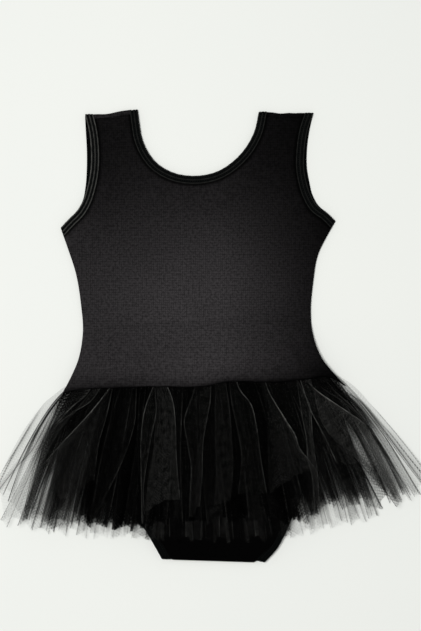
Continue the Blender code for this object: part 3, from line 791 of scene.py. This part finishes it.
def sewNeckAndArms():
    room = bodiceSizes["backRoom"]
    heights = frontBindZ, backBindZ
    tops = neckFront[0, 1] - room, neckFront[-1, 1] - room
    neck = [resample(between(c, *tops), bindSizes["neckSteps"]) for c in (neckFront, neckBack)]
    # The last number of each binding is how strong the painted highlight on its ridges is: strongest on
    # the left arm, which faces the light, faint on the neck and the right arm.
    sewBinding("neck", "neck_binding", (0.48, 0.010), neck, heights, -1, bindWall, (0, 2), 0.22)
    arms = (("Left", armLeftFront, armLeftBack, -1, (4.3, -2.0), 0.85),
            ("Right", armRightFront, armRightBack, 1, (2.0, -2.9), 0.17))
    for word, front, back, side, skew, ridgeLightStrength in arms:
        paths = [resample(upTo(c, c[-1, 1] - room)[4:], bindSizes["armSteps"]) for c in (front, back)]
        sewBinding(f"arm{word}", f"arm_binding_{word.lower()}", (0.275, 0.010), paths, heights, side,
                   bindWall, skew, ridgeLightStrength)


# Briefs.

briefsSizes = {
    "wall": 0.95, "crotchCorner": 11.5, "cornerRoom": 3, "firstRow": 6, "lastRow": 4, "legSteps": 44,
    "hipSteps": 12, "across": 60, "creases": 0.8, "bindingSteps": 90}
briefsCreases = [(-46, -226, 44, -229, 0.7, 2.2), (-50, -218, 10, -221, -0.5, 2.4),
                 (0, -212, 52, -219, 0.55, 2.6), (-40, -206, 30, -204, 0.5, 3),
                 (-58, -196, -20, -202, -0.5, 3), (24, -196, 58, -192, 0.5, 3),
                 (-52, -233, 46, -235, -0.5, 1.4)]


# The edge of one side from the crotch up the leg opening and up the hip.
def briefsSide(leg, otherEnd, hip, turn):
    side, edge = meetCurves(hip, insetCurve(leg, turn))
    corner = leg[-1] + unit(otherEnd - leg[-1]) * briefsSizes["crotchCorner"]
    edge = np.vstack([edge[edge[:, 1] > corner[1] + briefsSizes["cornerRoom"]], corner])
    return np.vstack([resample(edge[::-1], briefsSizes["legSteps"]),
                      resample(side[::-1], briefsSizes["hipSteps"])[1:]])


# Both halves are one Coons patch between the sides, the crotch and the seam, laid on the pile.
def layBriefs():
    s = briefsSizes
    sideA = briefsSide(legLeft, legRight[-1], briefsSideLeft, 1)
    sideB = briefsSide(legRight, legLeft[-1], briefsSideRight, -1)
    across = np.linspace(briefsSideLeft[0, 0], briefsSideRight[0, 0], s["across"] + 1)
    top = np.column_stack([across, seamY(across) + pileSizes["gatherTuck"] - 1])
    sideA[-1], sideB[-1] = top[0], top[-1]
    plan = coonsPatch(resample(np.array([sideA[0], sideB[0]]), s["across"]), top, sideA, sideB)
    x, y = plan[..., 0], plan[..., 1]
    legs = [(word, resample(leg[s["firstRow"]:-s["lastRow"]], s["bindingSteps"]), turn, [])
            for word, leg, turn in (("Left", legLeft, 1), ("Right", legRight, -1))]
    for word in ("Back", "Front"):
        z = pileHeight(x, y) + legBindWall / 2
        if word == "Front":
            z = z + creaseHeight(x, y, briefsCreases) * s["creases"]
        piece = addPanel(f"briefs{word}", f"briefs_{word.lower()}", [np.dstack([plan, z])], s["wall"])
        for _, path, turn, heights in legs:
            middle = path + turn * bindWidth / 2 * leftNormals(path)
            heights.insert(0, pileHeight(middle[:, 0], middle[:, 1]) + legBindWall / 2)
        lay(np.vstack([legLeft, legRight[::-1], top[::-1]]), legBindWall + pileSizes["knitLoft"])
    for word, path, turn, heights in legs:
        # The legs' ridges get only a faint painted highlight.
        sewBinding(f"leg{word}", f"leg_binding_{word.lower()}", (0.285, 0.010), (path, path), heights,
                   turn, legBindWall, (0, 5.0), 0.02)


# Skirt.

# A pair says from where and over how far something grows, in mm out from the middle or in shares
# of the way down. A third number is its least, where that isn't 0.
skirtSizes = {
    "rows": 58, "spreadLeft": 0.62, "spreadRight": 0.78, "spreadReach": 75, "rimWidth": 2.4,
    "rimTip": 0.6, "tuckShort": 7.0, "fullTip": 5, "panelLevel": 0.85, "edgeLevels": (0.05, 0.55, 1.0),
    "growing": (0, 0.75, 0.2), "fanning": (70, 60, 0.25), "leastTuck": 0.4, "leastSlope": 0.3,
    "moreSlope": 0.5, "steeper": (50, 40), "longRise": 6, "placedTips": (140, 40), "foldLine": 0.6,
    "foldLines": (100, 60), "clearFrom": 0.9, "clearCrease": 0.6, "faintCrease": 0.15,
    "creaseGrowing": (0, 0.3)}
hemTopBack = [
    (-227, -158), (-193, -183), (-119, -178), (-14, -183), (90, -178), (174, -172), (227, -150)]
hemTopFront = [
    (-227, -158), (-190, -184), (-123, -172), (-75, -186), (-16, -187), (53, -165), (103, -140),
    (128, -133), (190, -165), (227, -150)]
hemMiddle = [
    (-201, -198), (-174, -203), (-149, -197), (-98, -200), (-73, -201), (-46, -196), (-14, -198),
    (17, -194), (80, -196), (103, -201), (128, -181), (178, -173), (200, -168)]
hemUnder = [
    (-182, -203), (-136, -208), (-111, -212), (-86, -210), (-56, -214), (27, -216), (70, -212),
    (115, -204), (140, -198), (172, -192)]
# The net layers, top, middle and under: how far in from the sides each starts at the waist; for
# front and back its wave height, its hem and the number of its folds made by rule; how far these
# tuck under, how much of its panel's painted light a tuck keeps, a painted shade, how strong the
# painted highlight on their creases is and how light the net is painted, standing for the light and
# shade on it; a phase for the sines; how far the folds' tips stick out and how much lighter the
# painted light gets near its hem; how much denser it is across the middle; how sheer it turns, and
# on the left and on the right from what x at the hem and from what share of the way down, though
# the panel at either end is sheer from the waist; the strip it is cut from; how much shorter it is
# at some x of the hem.
netTable = {
    "node": ("tulle_top", "tulle_middle", "tulle_under"), "inset": (6, 14.5, 24),
    "wave": ((4.8, 1.8), (2.3, 1.5), (2.0, 1.5)),
    "hems": ((hemTopFront, hemTopBack), (hemMiddle, hemMiddle), (hemUnder, hemUnder)),
    "folds": ((0, 21), (21, 16), (19, 15)), "tuck": (4.5, 7.5, 7.0), "tuckTone": (0.3, 0.4, 0.8),
    "glow": (0.0, 0.3, 0.45), "tone": (0.02, 0.055, 0.11), "phase": (0.4, 1.7, 3.1),
    "spike": (4.5, 4.0, 2.6), "brim": (0.0, 1.3, 1.0), "dense": (0.0, 3.0, 0.0),
    "sheer": ((0.8, (-180, 0.39), (174, 0.28)), (0.7, (-155, 0.43), (134, 0.32)),
              (0.8, (-58, 0.65), (58, 0.65))),
    "flat": ((1.70, 0.140), (1.55, 0.150), (1.40, 0.165)),
    "short": (((-222, -3), (-195, -6), (-155, -3), (-120, 0), (130, 0), (165, -6), (215, -7)),
              ((-135, 4), (-118, 1), (-72, 1), (-50, 4), (80, 4), (110, 11), (150, 9)),
              ((85, 2), (120, 4)))}
netLayers = {name: {key: column[i] for key, column in netTable.items()}
             for i, name in enumerate(("tulleTop", "tulleMiddle", "tulleUnder"))}

# The top layer's folds in front, left to right. A left edge tucks the net under to its right and a
# right edge to its left; a panel only steers the net between them. Columns: kind, tuck, how strong
# the crease's painted highlight is, how light the net beside it is painted, and the fold's path down
# to the hem.
topFolds = [
    ("left", 3, 0, 0.05, [(-163, -62), (-174, -67), (-181, -75), (-191, -91), (-203, -112),
     (-217, -134), (-226, -149)]),
    ("right", 4, 0, 0.05, [(-160, -63), (-172, -87), (-181, -105), (-189, -119), (-204, -135),
     (-225, -162)]),
    ("left", 4, 0, 0.12, [(-159, -63), (-170, -88), (-178, -104), (-186, -119), (-201, -150),
     (-222, -190)]),
    ("right", 5, 0.5, 0.26, [(-135, -64), (-146, -73), (-162, -90), (-180, -120), (-194, -150),
     (-213, -193)]),
    ("left", 5, 0.3, 0.2, [(-136, -68), (-155, -89), (-173, -118), (-184, -142), (-202, -190)]),
    ("right", 6, 0.8, 0.3, [(-130, -70), (-143, -78), (-168, -98), (-181, -131), (-193, -185)]),
    ("left", 8, 1, 0.28, [(-121, -70), (-132, -83), (-145, -97), (-160, -113), (-172, -127)]),
    ("panel", 0, 0, 0.16, [(-119, -70), (-132, -94), (-149, -127), (-164, -154)]),
    ("panel", 0, 0, 0.3, [(-117, -70), (-127, -99), (-141, -136), (-155, -170)]),
    ("panel", 0, 0, 0.14, [(-114, -70), (-122, -99), (-130, -131), (-139, -159)]),
    ("right", 7, 0.45, 0.1, [(-108, -67), (-112, -85), (-119, -110), (-124, -150)]),
    ("left", 6, 0.1, 0.04, [(-105, -66), (-109, -94), (-118, -141), (-128, -185)]),
    ("panel", 0, 0, 0.05, [(-94, -65), (-99, -99), (-107, -146), (-117, -194)]),
    ("right", 9, 0.45, 0.08, [(-81, -64), (-82, -88), (-89, -115), (-106, -154), (-124, -190)]),
    ("left", 6, 0.1, 0.05, [(-78, -64), (-81, -110), (-88, -157), (-94, -196)]),
    ("right", 5, 0.15, 0.05, [(-72, -64), (-76, -99), (-79, -152), (-81, -196)]),
    ("left", 6, 1, 0.15, [(-66, -59), (-71, -72), (-76, -106), (-76, -143), (-75, -195)]),
    ("right", 3, 0.6, 0.15, [(-61, -58), (-60, -80), (-64, -100), (-68, -124), (-73, -160),
     (-72, -185)]),
    ("left", 4, 0, 0.3, [(-60, -58), (-59, -80), (-62, -110), (-69, -150), (-72, -182)]),
    ("panel", 0, 0, 0.4, [(-57, -56), (-54, -78), (-54, -120), (-59, -152), (-62, -177)]),
    ("panel", 0, 0, 0.36, [(-54, -54), (-48, -73), (-46, -110), (-47, -141), (-48, -170)]),
    ("right", 6, 1, 0.3, [(-49, -53), (-43, -67), (-40, -89), (-39, -122), (-37, -150), (-35, -170)]),
    ("left", 5, 0.7, 0.12, [(-24, -66), (-28, -76), (-31, -86), (-28, -111), (-24, -136), (-25, -163),
     (-26, -188)]),
    ("panel", 0, 0, 0.14, [(-17, -59), (-21, -89), (-19, -131), (-20, -162), (-20, -185)]),
    ("right", 6, 0.75, 0.18, [(-3, -53), (-4, -71), (-7, -86), (-11, -110), (-12, -139), (-15, -178)]),
    ("left", 4, 0.22, 0.16, [(1, -53), (1, -79), (1, -110), (2, -150), (0, -175)]),
    ("panel", 0, 0, 0.2, [(7, -53), (8, -79), (9, -110), (9, -141), (7, -174)]),
    ("right", 5, 0.3, 0.15, [(13, -52), (16, -74), (18, -95), (19, -111), (20, -136), (17, -171)]),
    ("left", 4, 0.35, 0.1, [(16, -52), (19, -74), (24, -97), (28, -120), (25, -164)]),
    ("panel", 0, 0, 0.12, [(20, -51), (25, -76), (33, -102), (36, -125), (35, -162)]),
    ("panel", 0, 0, 0.08, [(23, -51), (32, -73), (39, -102), (43, -125), (45, -162)]),
    ("right", 6, 0.95, 0.12, [(26, -54), (39, -72), (44, -92), (49, -129), (55, -163)]),
    ("left", 3, 0, 0.12, [(50, -55), (54, -73), (55, -99), (56, -131), (57, -163)]),
    ("panel", 0, 0, 0.2, [(52, -55), (59, -73), (63, -101), (65, -131), (66, -157)]),
    ("panel", 0, 0, 0.24, [(54, -55), (64, -76), (74, -106), (77, -131), (77, -151)]),
    ("panel", 0, 0, 0.2, [(55, -55), (68, -78), (81, -106), (87, -125), (88, -143)]),
    ("right", 6, 0.85, 0.34, [(56, -55), (74, -86), (85, -104), (89, -116), (98, -128), (105, -138)]),
    ("left", 3, 0.5, 0.2, [(87, -53), (91, -82), (96, -110), (97, -127), (101, -144), (104, -185)]),
    ("panel", 0, 0, 0.3, [(89, -53), (96, -80), (99, -110), (102, -131), (106, -152), (107, -188)]),
    ("right", 4, 0.6, 0.4, [(91, -54), (100, -73), (102, -96), (104, -116), (107, -137), (110, -179)]),
    ("left", 5, 1, 0.12, [(92, -53), (100, -77), (112, -100), (123, -123), (127, -132)]),
    ("panel", 0, 0, 0.28, [(99, -53), (111, -77), (125, -104), (135, -132)]),
    ("right", 6, 0.1, 0.3, [(103, -54), (119, -77), (134, -107), (147, -130)]),
    ("left", 5, 0.6, 0.42, [(103, -55), (113, -92), (123, -106), (142, -121), (155, -137), (172, -154),
     (186, -173)]),
    ("panel", 0, 0, 0.52, [(104, -55), (127, -83), (149, -110), (170, -137), (189, -169)]),
    ("right", 7, 1, 0.8, [(105, -55), (123, -68), (143, -81), (157, -91), (168, -111), (178, -135),
     (192, -163)]),
    ("left", 4, 0.2, 0.1, [(113, -55), (136, -70), (157, -93), (176, -122), (194, -160)]),
    ("right", 5, 0.4, 0.1, [(124, -55), (142, -71), (161, -94), (180, -122), (201, -162)]),
    ("left", 4, 0.2, 0.05, [(126, -55), (145, -71), (163, -93), (182, -122), (205, -161)]),
    ("right", 5, 0.4, 0.05, [(132, -55), (148, -69), (168, -94), (188, -122), (212, -159)]),
    ("left", 3, 0.1, 0.05, [(133, -55), (151, -68), (172, -95), (193, -124), (217, -155)]),
    ("right", 3, 0.1, 0.05, [(138, -54), (150, -58), (159, -71), (169, -86), (183, -101), (197, -119),
     (210, -135), (224, -152)]),
]


# How the folds made by rule vary: mean, swing and rate of a sine of the fold's number. Every other
# step along the hem is a gap, this share as wide as a fold.
foldRules = {
    "width": (1, 0.55, 2.9), "hem": (0, 3.6, 3.7), "tuck": (0.75, 0.5, 1.9), "glow": (0.35, 0.65, 2.6),
    "tone": (0.7, 0.6, 1.4), "wobble": (0, 3.0, 4.1), "tip": (0.8, 0.6, 3.3),
    "placedTip": (0.6, 0.5, 2.3), "gap": 0.35, "leastWidth": 0.12, "backPhase": 2.3, "glowPhase": 1.3}


def varied(key, number, phase):
    mean, swing, rate = foldRules[key]
    return mean + swing * np.sin(rate * number + phase)


# Where a fold made by rule runs: from the waist it fans out as a power of its share of the way.
def fanPath(waistX, hemX, hemY, steps):
    s = skirtSizes
    waistY = seamY(waistX) + pileSizes["gatherTuck"]
    out = (hemX - waistX) / s["spreadReach"]
    power = np.where(out < 0, 1 - (1 - s["spreadLeft"]) * np.clip(-out, 0, 1),
                     1 - (1 - s["spreadRight"]) * np.clip(out, 0, 1))
    v = np.linspace(0, 1, steps + 1)
    return np.column_stack([waistX + (hemX - waistX) * v ** power, waistY + (hemY - waistY) * v])


def waistEnds(inset):
    lossLeft, lossRight = pileSizes["sideLoss"]
    return sideLeft[0, 0] + lossLeft + inset, sideRight[0, 0] - lossRight - inset


# The plan outline of half a layer, from its hem table.
def halfOutline(hem, inset, steps=14):
    hem = np.array(hem, float)
    first, last = waistEnds(inset)
    share = (hem[:, 0] - hem[0, 0]) / (hem[-1, 0] - hem[0, 0])
    waist = first + share * (last - first)
    paths = [fanPath(w, x, y, steps) for w, (x, y) in zip(waist, hem)]
    return np.vstack([[p[0] for p in paths], paths[-1][1:-1], [p[-1] for p in paths][::-1],
                      paths[0][-2:0:-1]])


# Rows of folds made by rule: uneven widths, tucks and lengths from sines.
def ruledFolds(layer, half):
    s = foldRules
    count, hem = layer["folds"][half], np.array(layer["hems"][half], float)
    phase = layer["phase"] + s["backPhase"] * half
    edge = np.arange(2 * count + 1)
    wide = np.where(edge % 2 == 0, 1.0, s["gap"]) * varied("width", edge, phase)
    wide[:1] = wide[-1:] = 0.5
    share = np.cumsum(np.abs(wide) + s["leastWidth"])
    share = np.r_[0, (share / share[-1])[:-1], 1]
    first, last = waistEnds(layer["inset"])
    x = hem[0, 0] + share * (hem[-1, 0] - hem[0, 0])
    y = np.interp(x, hem[:, 0], hem[:, 1])
    y[1:-1] += varied("hem", edge[:-1], phase)
    number = np.arange(len(x))
    fan = rising(np.abs(x), *skirtSizes["fanning"])
    least = skirtSizes["leastTuck"]
    tuck = layer["tuck"] * varied("tuck", number, phase) * (least + (1 - least) * fan)
    glow = layer["glow"] * np.maximum(varied("glow", number, s["glowPhase"] * phase), 0)
    tone = layer["tone"] * varied("tone", number, phase)
    tip = fan * layer["spike"] * varied("tip", number, phase)
    wobble = varied("wobble", number, phase) * (number > 0) * (number < number[-1])
    bow = np.sin(np.pi * np.linspace(0, 1, skirtSizes["rows"] + 1))
    rows = []
    for i in number:
        path = fanPath(first + share[i] * (last - first), x[i], y[i], skirtSizes["rows"])
        path[:, 0] += wobble[i] * bow
        kind = "left" if i % 2 == 0 else "right"
        rows.append((kind, tuck[i], glow[i], tone[i], layer["tuckTone"] * tone[i], tip[i], path))
    return rows


# The listed folds, each path run up under the bodice and read at equal steps. Where the skirt
# fans out at its sides, the folds' tips stick out past the hem.
def placedFolds(layer):
    s = skirtSizes
    first, last = waistEnds(0)
    rows = []
    for i, (kind, tuck, glow, tone, points) in enumerate(topFolds):
        (x0, y0), (x1, y1) = points[:2]
        rise = float(seamY(x0)) + pileSizes["gatherTuck"] - y0
        steep = s["leastSlope"] + s["moreSlope"] * rising(abs(x0), *s["steeper"])
        startX = np.clip(x0 + rise * np.clip((x0 - x1) / (y0 - y1), -steep, steep), first, last)
        start = (startX, float(seamY(startX)) + pileSizes["gatherTuck"])
        kept = points if rise > s["longRise"] else points[1:]
        path = smoothCurve([start, *kept], s["rows"])
        fan = rising(abs(points[-1][0]), *s["placedTips"])
        tip = fan * layer["spike"] * varied("placedTip", i, 0)
        rows.append((kind, tuck, glow, tone, layer["tuckTone"] * tone, tip, path))
    return rows


# Control columns of half a layer. An edge makes three: the tuck below, the crease itself half way
# up and a rim just inside it. Each gives its points, how strong its painted highlight is, how dark a
# line its doubled net draws where the skirt is sheer, how light the net beside it is painted and how
# far its tip reaches past the hem.
def foldColumns(rows, wave):
    s = skirtSizes
    v = np.linspace(0, 1, s["rows"] + 1)
    grow = rising(v, *s["growing"])
    columns = []

    def column(path, shift, level, crease, line, tone, reach):
        sideways = -leftNormals(path) if path[-1, 1] > path[0, 1] else leftNormals(path)
        moved = path + sideways * (shift * grow)[:, None]
        atWaist = s["clearCrease"] if crease > s["clearFrom"] else s["faintCrease"]
        clear = crease * rising(v, *s["creaseGrowing"], atWaist)
        columns.append((moved, level, clear, line, tone, reach))

    for i, (kind, tuck, glow, tone, tuckTone, tip, path) in enumerate(rows):
        turn = 1 if kind == "left" else -1
        line = s["foldLine"] * rising(abs(path[-1, 0]), *s["foldLines"])
        if i in (0, len(rows) - 1):
            column(path, 0, s["panelLevel"], glow, line, tone, 0)
        elif kind == "panel":
            column(path, 0, s["panelLevel"], glow, 0, tone, 0)
        else:
            short = s["tuckShort"] * min(tip / s["fullTip"], 1)
            low, middle, high = s["edgeLevels"]
            edge = [(path, turn * tuck, low, 0, 0, tuckTone, -short),
                    (path, 0, middle, glow, line, tone, tip),
                    (path, turn * s["rimWidth"], high, 0, 0, tone, s["rimTip"] * tip)]
            for made in edge[::turn]:
                column(*made)
    plan, level, crease, line, tone, reach = (np.array(part) for part in zip(*columns))
    x, y = plan[..., 0], plan[..., 1]
    z = pileHeight(x, y) + netWall / 2 + wave * level[:, None] * openingOut(x, y)
    points = np.dstack([x, y, z])
    return {"points": points, "crease": crease, "line": line, "tone": tone, "reach": reach}


# Piecewise cubic through the control columns whose slopes are harmonic means of the slopes on
# both sides, and zero where those differ in sign, so that a crease stays where its column is.
def throughColumns(control, at, fine):
    h = np.diff(at).reshape(-1, *[1] * (control.ndim - 1))
    d = np.diff(control, axis=0) / h
    w1, w2 = 2 * h[1:] + h[:-1], h[1:] + 2 * h[:-1]
    same = d[1:] * d[:-1] > 0
    after, before = np.where(same, d[1:], 1.0), np.where(same, d[:-1], 1.0)
    slope = np.concatenate([d[:1], np.where(same, (w1 + w2) / (w1 / before + w2 / after), 0), d[-1:]])
    return cubicThrough(control, slope, at, fine)


# Goes round a layer: across the front, over the fold at the right, back behind, over the left fold.
def roundTheLayer(front, back):
    def sideFold(a, b, neighbour):
        middle = (a + b) / 2
        middle[:, :2] += unit(a[:, :2] - neighbour[:, :2]) * np.abs(a[:, 2:3] - b[:, 2:3]) / 2
        return middle[None]

    f, b = front["points"], back["points"]
    ring = {"points": np.concatenate([f, sideFold(f[-1], b[-1], f[-2]), b[::-1],
                                      sideFold(f[0], b[0], f[1]), f[:1]])}
    for key in ("crease", "line", "tone", "reach"):
        blank = np.zeros_like(front[key][:1])
        ring[key] = np.concatenate([front[key], blank, back[key][::-1], blank, front[key][:1]])
    return ring


# How the fine net lies between the folds, and how its look follows from that, with its painted light
# and highlights. Pairs are as above.
netSizes = {
    "columnStep": 1.45, "fewest": 3, "most": 40, "foldRoom": 0.4, "ripple": 0.45, "rippleLength": 6.0,
    "drift": 3, "driftLength": 40, "rippleStart": (0, 0.1), "rippleLoss": 0.45, "fray": 2.0,
    "fraySpread": 0.5, "frayWave": 1.6, "frayLength": 5.3, "fraying": (70, 60, 0.3), "frayPower": 6,
    "reachPower": 3, "frayEven": 0.7, "evening": (90, 50), "downRows": 4, "lowest": 0.25,
    "cover": 0.163, "gather": 1.2, "leastGather": 1.5, "steepest": 5, "leastStep": 0.05,
    "sideMore": 0.7, "sides": (140, 40), "middleX": -20, "middle": (90, 40), "ends": (180, 35),
    "last": (221, 3), "bunch": (0, 0.4), "bunchSheets": 9, "mostSheets": 14, "endSheets": 2.1,
    "sheerOver": 40, "lastHigher": 2.2, "lowerOver": 0.3, "brim": (0.72, 0.2), "toneCover": 0.085,
    "narrowest": 0.15, "widest": 1.2, "creaseReach": 12, "creaseWidth": 0.8, "creaseCover": 0.85,
    "creaseGlow": 0.9, "creaseEven": 0.8, "creaseUneven": 0.25, "creaseTurns": 11, "creasePhase": 1.9,
    "lines": (0.2, 0.25), "seed": 11}


# The fine net over the control columns: ripples, a frayed hem and tips, shortening in the tucks.
def fineNet(control, layer, rng):
    s = netSizes
    hemStep = lengths(np.diff(control["points"][:, -1], axis=0)) + s["foldRoom"]
    at = np.r_[0, np.cumsum(hemStep)]
    counts = np.clip(np.round(np.diff(at) / s["columnStep"]), s["fewest"], s["most"]).astype(int)
    fine = np.concatenate([np.linspace(a, b, n + 1)[:-1] for a, b, n in zip(at[:-1], at[1:], counts)])
    net = throughColumns(control["points"], at, fine)             # column, row, xyz
    out = np.abs(net[:, -1, 0])
    v = np.linspace(0, 1, net.shape[1])
    drift = s["drift"] * np.sin(fine / s["driftLength"])
    ripple = unevenness(2 * np.pi * fine / s["rippleLength"] + drift, layer["phase"])
    full = (1 - s["rippleLoss"] * v) * rising(v, *s["rippleStart"])
    net[..., 2] += s["ripple"] * ripple[:, None] * full
    down = unit(net[:, -1, :2] - net[:, -1 - s["downRows"], :2])
    even = 1 - s["frayEven"] * rising(out, *s["evening"])
    fray = rising(out, *s["fraying"]) * even * (
        s["fray"] * rng.normal(0, s["fraySpread"], len(fine))
        + s["frayWave"] * unevenness(fine / s["frayLength"], layer["phase"]))
    shorter = np.interp(net[:, -1, 0], *np.transpose(layer["short"]))
    reach = throughColumns(control["reach"], at, fine) - shorter
    past = fray[:, None] * v ** s["frayPower"] + reach[:, None] * v ** s["reachPower"]
    net[..., :2] += down[:, None] * past[..., None]
    net[..., 2] = np.maximum(net[..., 2], s["lowest"])
    return at, fine, net


# How many sheets of net lie over each other at each point: how closely the flat net is gathered
# there times how steeply it stands, with more at the sides and across the middle, where it is
# bunched, and fewer at both ends.
def netSheets(ring, apart, hemX, v, dense):
    s = netSizes
    inPlan = lengths(np.diff(ring[..., :2], axis=0))
    gathered = np.maximum(apart[:, -1:] / np.maximum(apart, s["leastStep"]), s["leastGather"])
    steep = np.clip(apart / np.maximum(inPlan, s["leastStep"]), 1, s["steepest"])
    sheets = gathered * s["gather"] * steep
    sides = rising(np.abs(hemX), *s["sides"])[:, None]
    middle = 1 - rising(np.abs(hemX - s["middleX"]), *s["middle"])[:, None]
    sheets = sheets * (1 + s["sideMore"] * sides * (1 - v) ** 2) * (1 + dense * middle)
    ends = rising(np.abs(hemX), *s["ends"])[:, None]
    last = rising(np.abs(hemX), *s["last"])[:, None]
    bunched = (1 - last) * (1 - rising(v, *s["bunch"])) * (hemX < 0)[:, None]      # left, at the waist
    fewer = (s["mostSheets"] - s["endSheets"]) * ends * (1 - bunched)
    sheets = (sheets + np.roll(sheets, 1, axis=0)) / 2
    return np.clip(sheets, s["bunchSheets"] * ends * bunched, s["mostSheets"] - fewer), last


# The share of the view that the yarns fill: one less the open share to the power of the sheets.
def netCover(sheets, last, hemX, v, sheer):
    s = netSizes
    much, (leftFrom, leftBelow), (rightFrom, rightBelow) = sheer
    thin = rising(np.maximum(leftFrom - hemX, hemX - rightFrom), 0, s["sheerOver"])[:, None]
    below = np.where(hemX < 0, leftBelow, rightBelow)[:, None] * (1 - s["lastHigher"] * last)
    return 1 - (1 - s["cover"] * (1 - much * thin * rising(v[None], below, s["lowerOver"]))) ** sheets


# One ring of gathered net. Its painted light is weaker where it covers more, and each crease's
# painted highlight and each doubled fold is a bell across its column.
def netRing(name, layer, front, back, rng):
    s = netSizes
    control = roundTheLayer(front, back)
    at, fine, net = fineNet(control, layer, rng)
    ring = np.concatenate([net, net[:1]])
    apart = lengths(np.diff(ring, axis=0))
    hemX, v = net[:, -1, 0], np.linspace(0, 1, net.shape[1])
    sheets, last = netSheets(ring, apart, hemX, v, layer["dense"])
    cover = netCover(sheets, last, hemX, v, layer["sheer"])
    # Painted light, fold by fold, growing towards the hem and weaker where the net covers more.
    brim = 1 + layer["brim"] * rising(v, *s["brim"])
    tone = np.interp(fine, at, control["tone"])[:, None] * brim[None]
    tone = tone * np.minimum(1, s["toneCover"] / np.maximum(cover, 0.01))
    narrow = np.clip(apart / np.maximum(apart[:, -1:], s["leastStep"]), s["narrowest"], s["widest"])
    crease, line = np.zeros_like(cover), np.zeros_like(cover)
    for k in np.flatnonzero(control["crease"].max(axis=1) + control["line"] > 0):
        near = np.abs(fine - at[k]) < s["creaseReach"]
        away = (fine[near] - at[k])[:, None] * narrow[near]
        uneven = s["creaseUneven"] * unevenness(s["creaseTurns"] * v, s["creasePhase"] * k)
        across = (s["creaseEven"] + uneven) * bell(away, s["creaseWidth"])
        crease[near] = np.maximum(crease[near], control["crease"][k] * across)
        line[near] = np.maximum(line[near], control["line"][k] * across * rising(v, *s["lines"]))
    cover = 1 - (1 - cover) * (1 - s["creaseCover"] * crease) * (1 - np.clip(line, 0, 1))
    # Painted light: the net's grey beside each fold plus a painted highlight on each crease.
    glow = np.clip(tone + s["creaseGlow"] * crease, 0, 1)
    along = np.cumsum(np.r_[0, apart[:-1, -1]])
    down = np.r_[0, np.cumsum(lengths(np.diff(net, axis=1)).mean(0))]
    uv = np.dstack(np.broadcast_arrays(along, down[:, None])) * mm
    mesh = gridMesh(name, [net.transpose(1, 0, 2)], closed=True, uv=uv,
                    values={"cover": cover.T, "glow": glow.T})
    piece = addPiece(name, mesh, tulle, [layer["node"]])
    area = (apart[:, :-1] * lengths(np.diff(ring, axis=1))[:-1]).sum() * mm * mm
    flat = layer["flat"][0] * layer["flat"][1]
    print(f"{name}: {len(net)} columns, cloth {area:.3f} m2, {area / flat:.2f} of its flat area")


def laySkirtHalf(name, half):
    layer = netLayers[name]
    rows = placedFolds(layer) if (name == "tulleTop" and half == 0) else ruledFolds(layer, half)
    columns = foldColumns(rows, layer["wave"][half])
    outline = halfOutline(layer["hems"][half], layer["inset"])
    lay(outline, netWall + pileSizes["netLoft"], layer["wave"][half])
    return columns


# The garment, from the surface up.

layBodiceBack()
print("back laid")
backHalves = {name: laySkirtHalf(name, 1) for name in netLayers}
layBriefs()
print("briefs laid")
frontHalves = {name: laySkirtHalf(name, 0) for name in reversed(netLayers)}
for number, name in enumerate(netLayers):
    rng = np.random.default_rng(netSizes["seed"] + number)
    netRing(name, netLayers[name], frontHalves[name], backHalves[name], rng)
layBodiceFront()
sewNeckAndArms()
print("garment laid")


# Surface, light and camera.

stageSizes = {
    "size": 9.0, "drop": 0.4, "world": 0.31, "worldColour": (0.985, 1.0, 0.995, 1), "lamp": 64.5,
    "lampPlace": (-0.45, 0.12, 2.75), "lampSize": 0.9, "tall": 662.55, "centre": (-3.675, 21.0),
    "distance": 2500.0, "sensor": 36.0}
# Matt painted board, pale and very slightly uneven.
boardLook = {"colours": ("#e8e9e4", "#e4e6e2"), "roughness": 0.9, "specular": 0.1, "speckScale": 3.0}


def makeStage():
    s = stageSizes
    bpy.ops.mesh.primitive_plane_add(size=s["size"], location=(0, 0, -s["drop"] * mm))
    board = bpy.context.object
    board.name = "board"
    board.data.materials.append(speckledMaterial("mattBoardWhite", boardLook))
    world = bpy.data.worlds.new("studio")
    world.use_nodes = True
    background = world.node_tree.nodes["Background"]
    background.inputs["Color"].default_value = s["worldColour"]
    background.inputs["Strength"].default_value = s["world"]
    scene.world = world
    data = bpy.data.lights.new("softbox", "AREA")
    data.shape = "DISK"
    data.size = s["lampSize"]
    data.energy = s["lamp"]
    lamp = bpy.data.objects.new("softbox", data)
    scene.collection.objects.link(lamp)
    lamp.location = s["lampPlace"]
    lamp.rotation_euler = (-lamp.location).to_track_quat("-Z", "Y").to_euler()


# Straight above, as far off as a lens this long needs to fill the frame.
def makeCamera():
    s = stageSizes
    data = bpy.data.cameras.new("above")
    camera = bpy.data.objects.new("above", data)
    scene.collection.objects.link(camera)
    x, y = s["centre"]
    camera.location = (x * mm, y * mm, s["distance"] * mm)
    data.sensor_width = s["sensor"]
    data.lens = data.sensor_width * s["distance"] / s["tall"]
    scene.camera = camera


makeStage()
makeCamera()
scene.view_settings.view_transform = "Standard"
scene.cycles.transparent_max_bounces = 48
print("stage set")
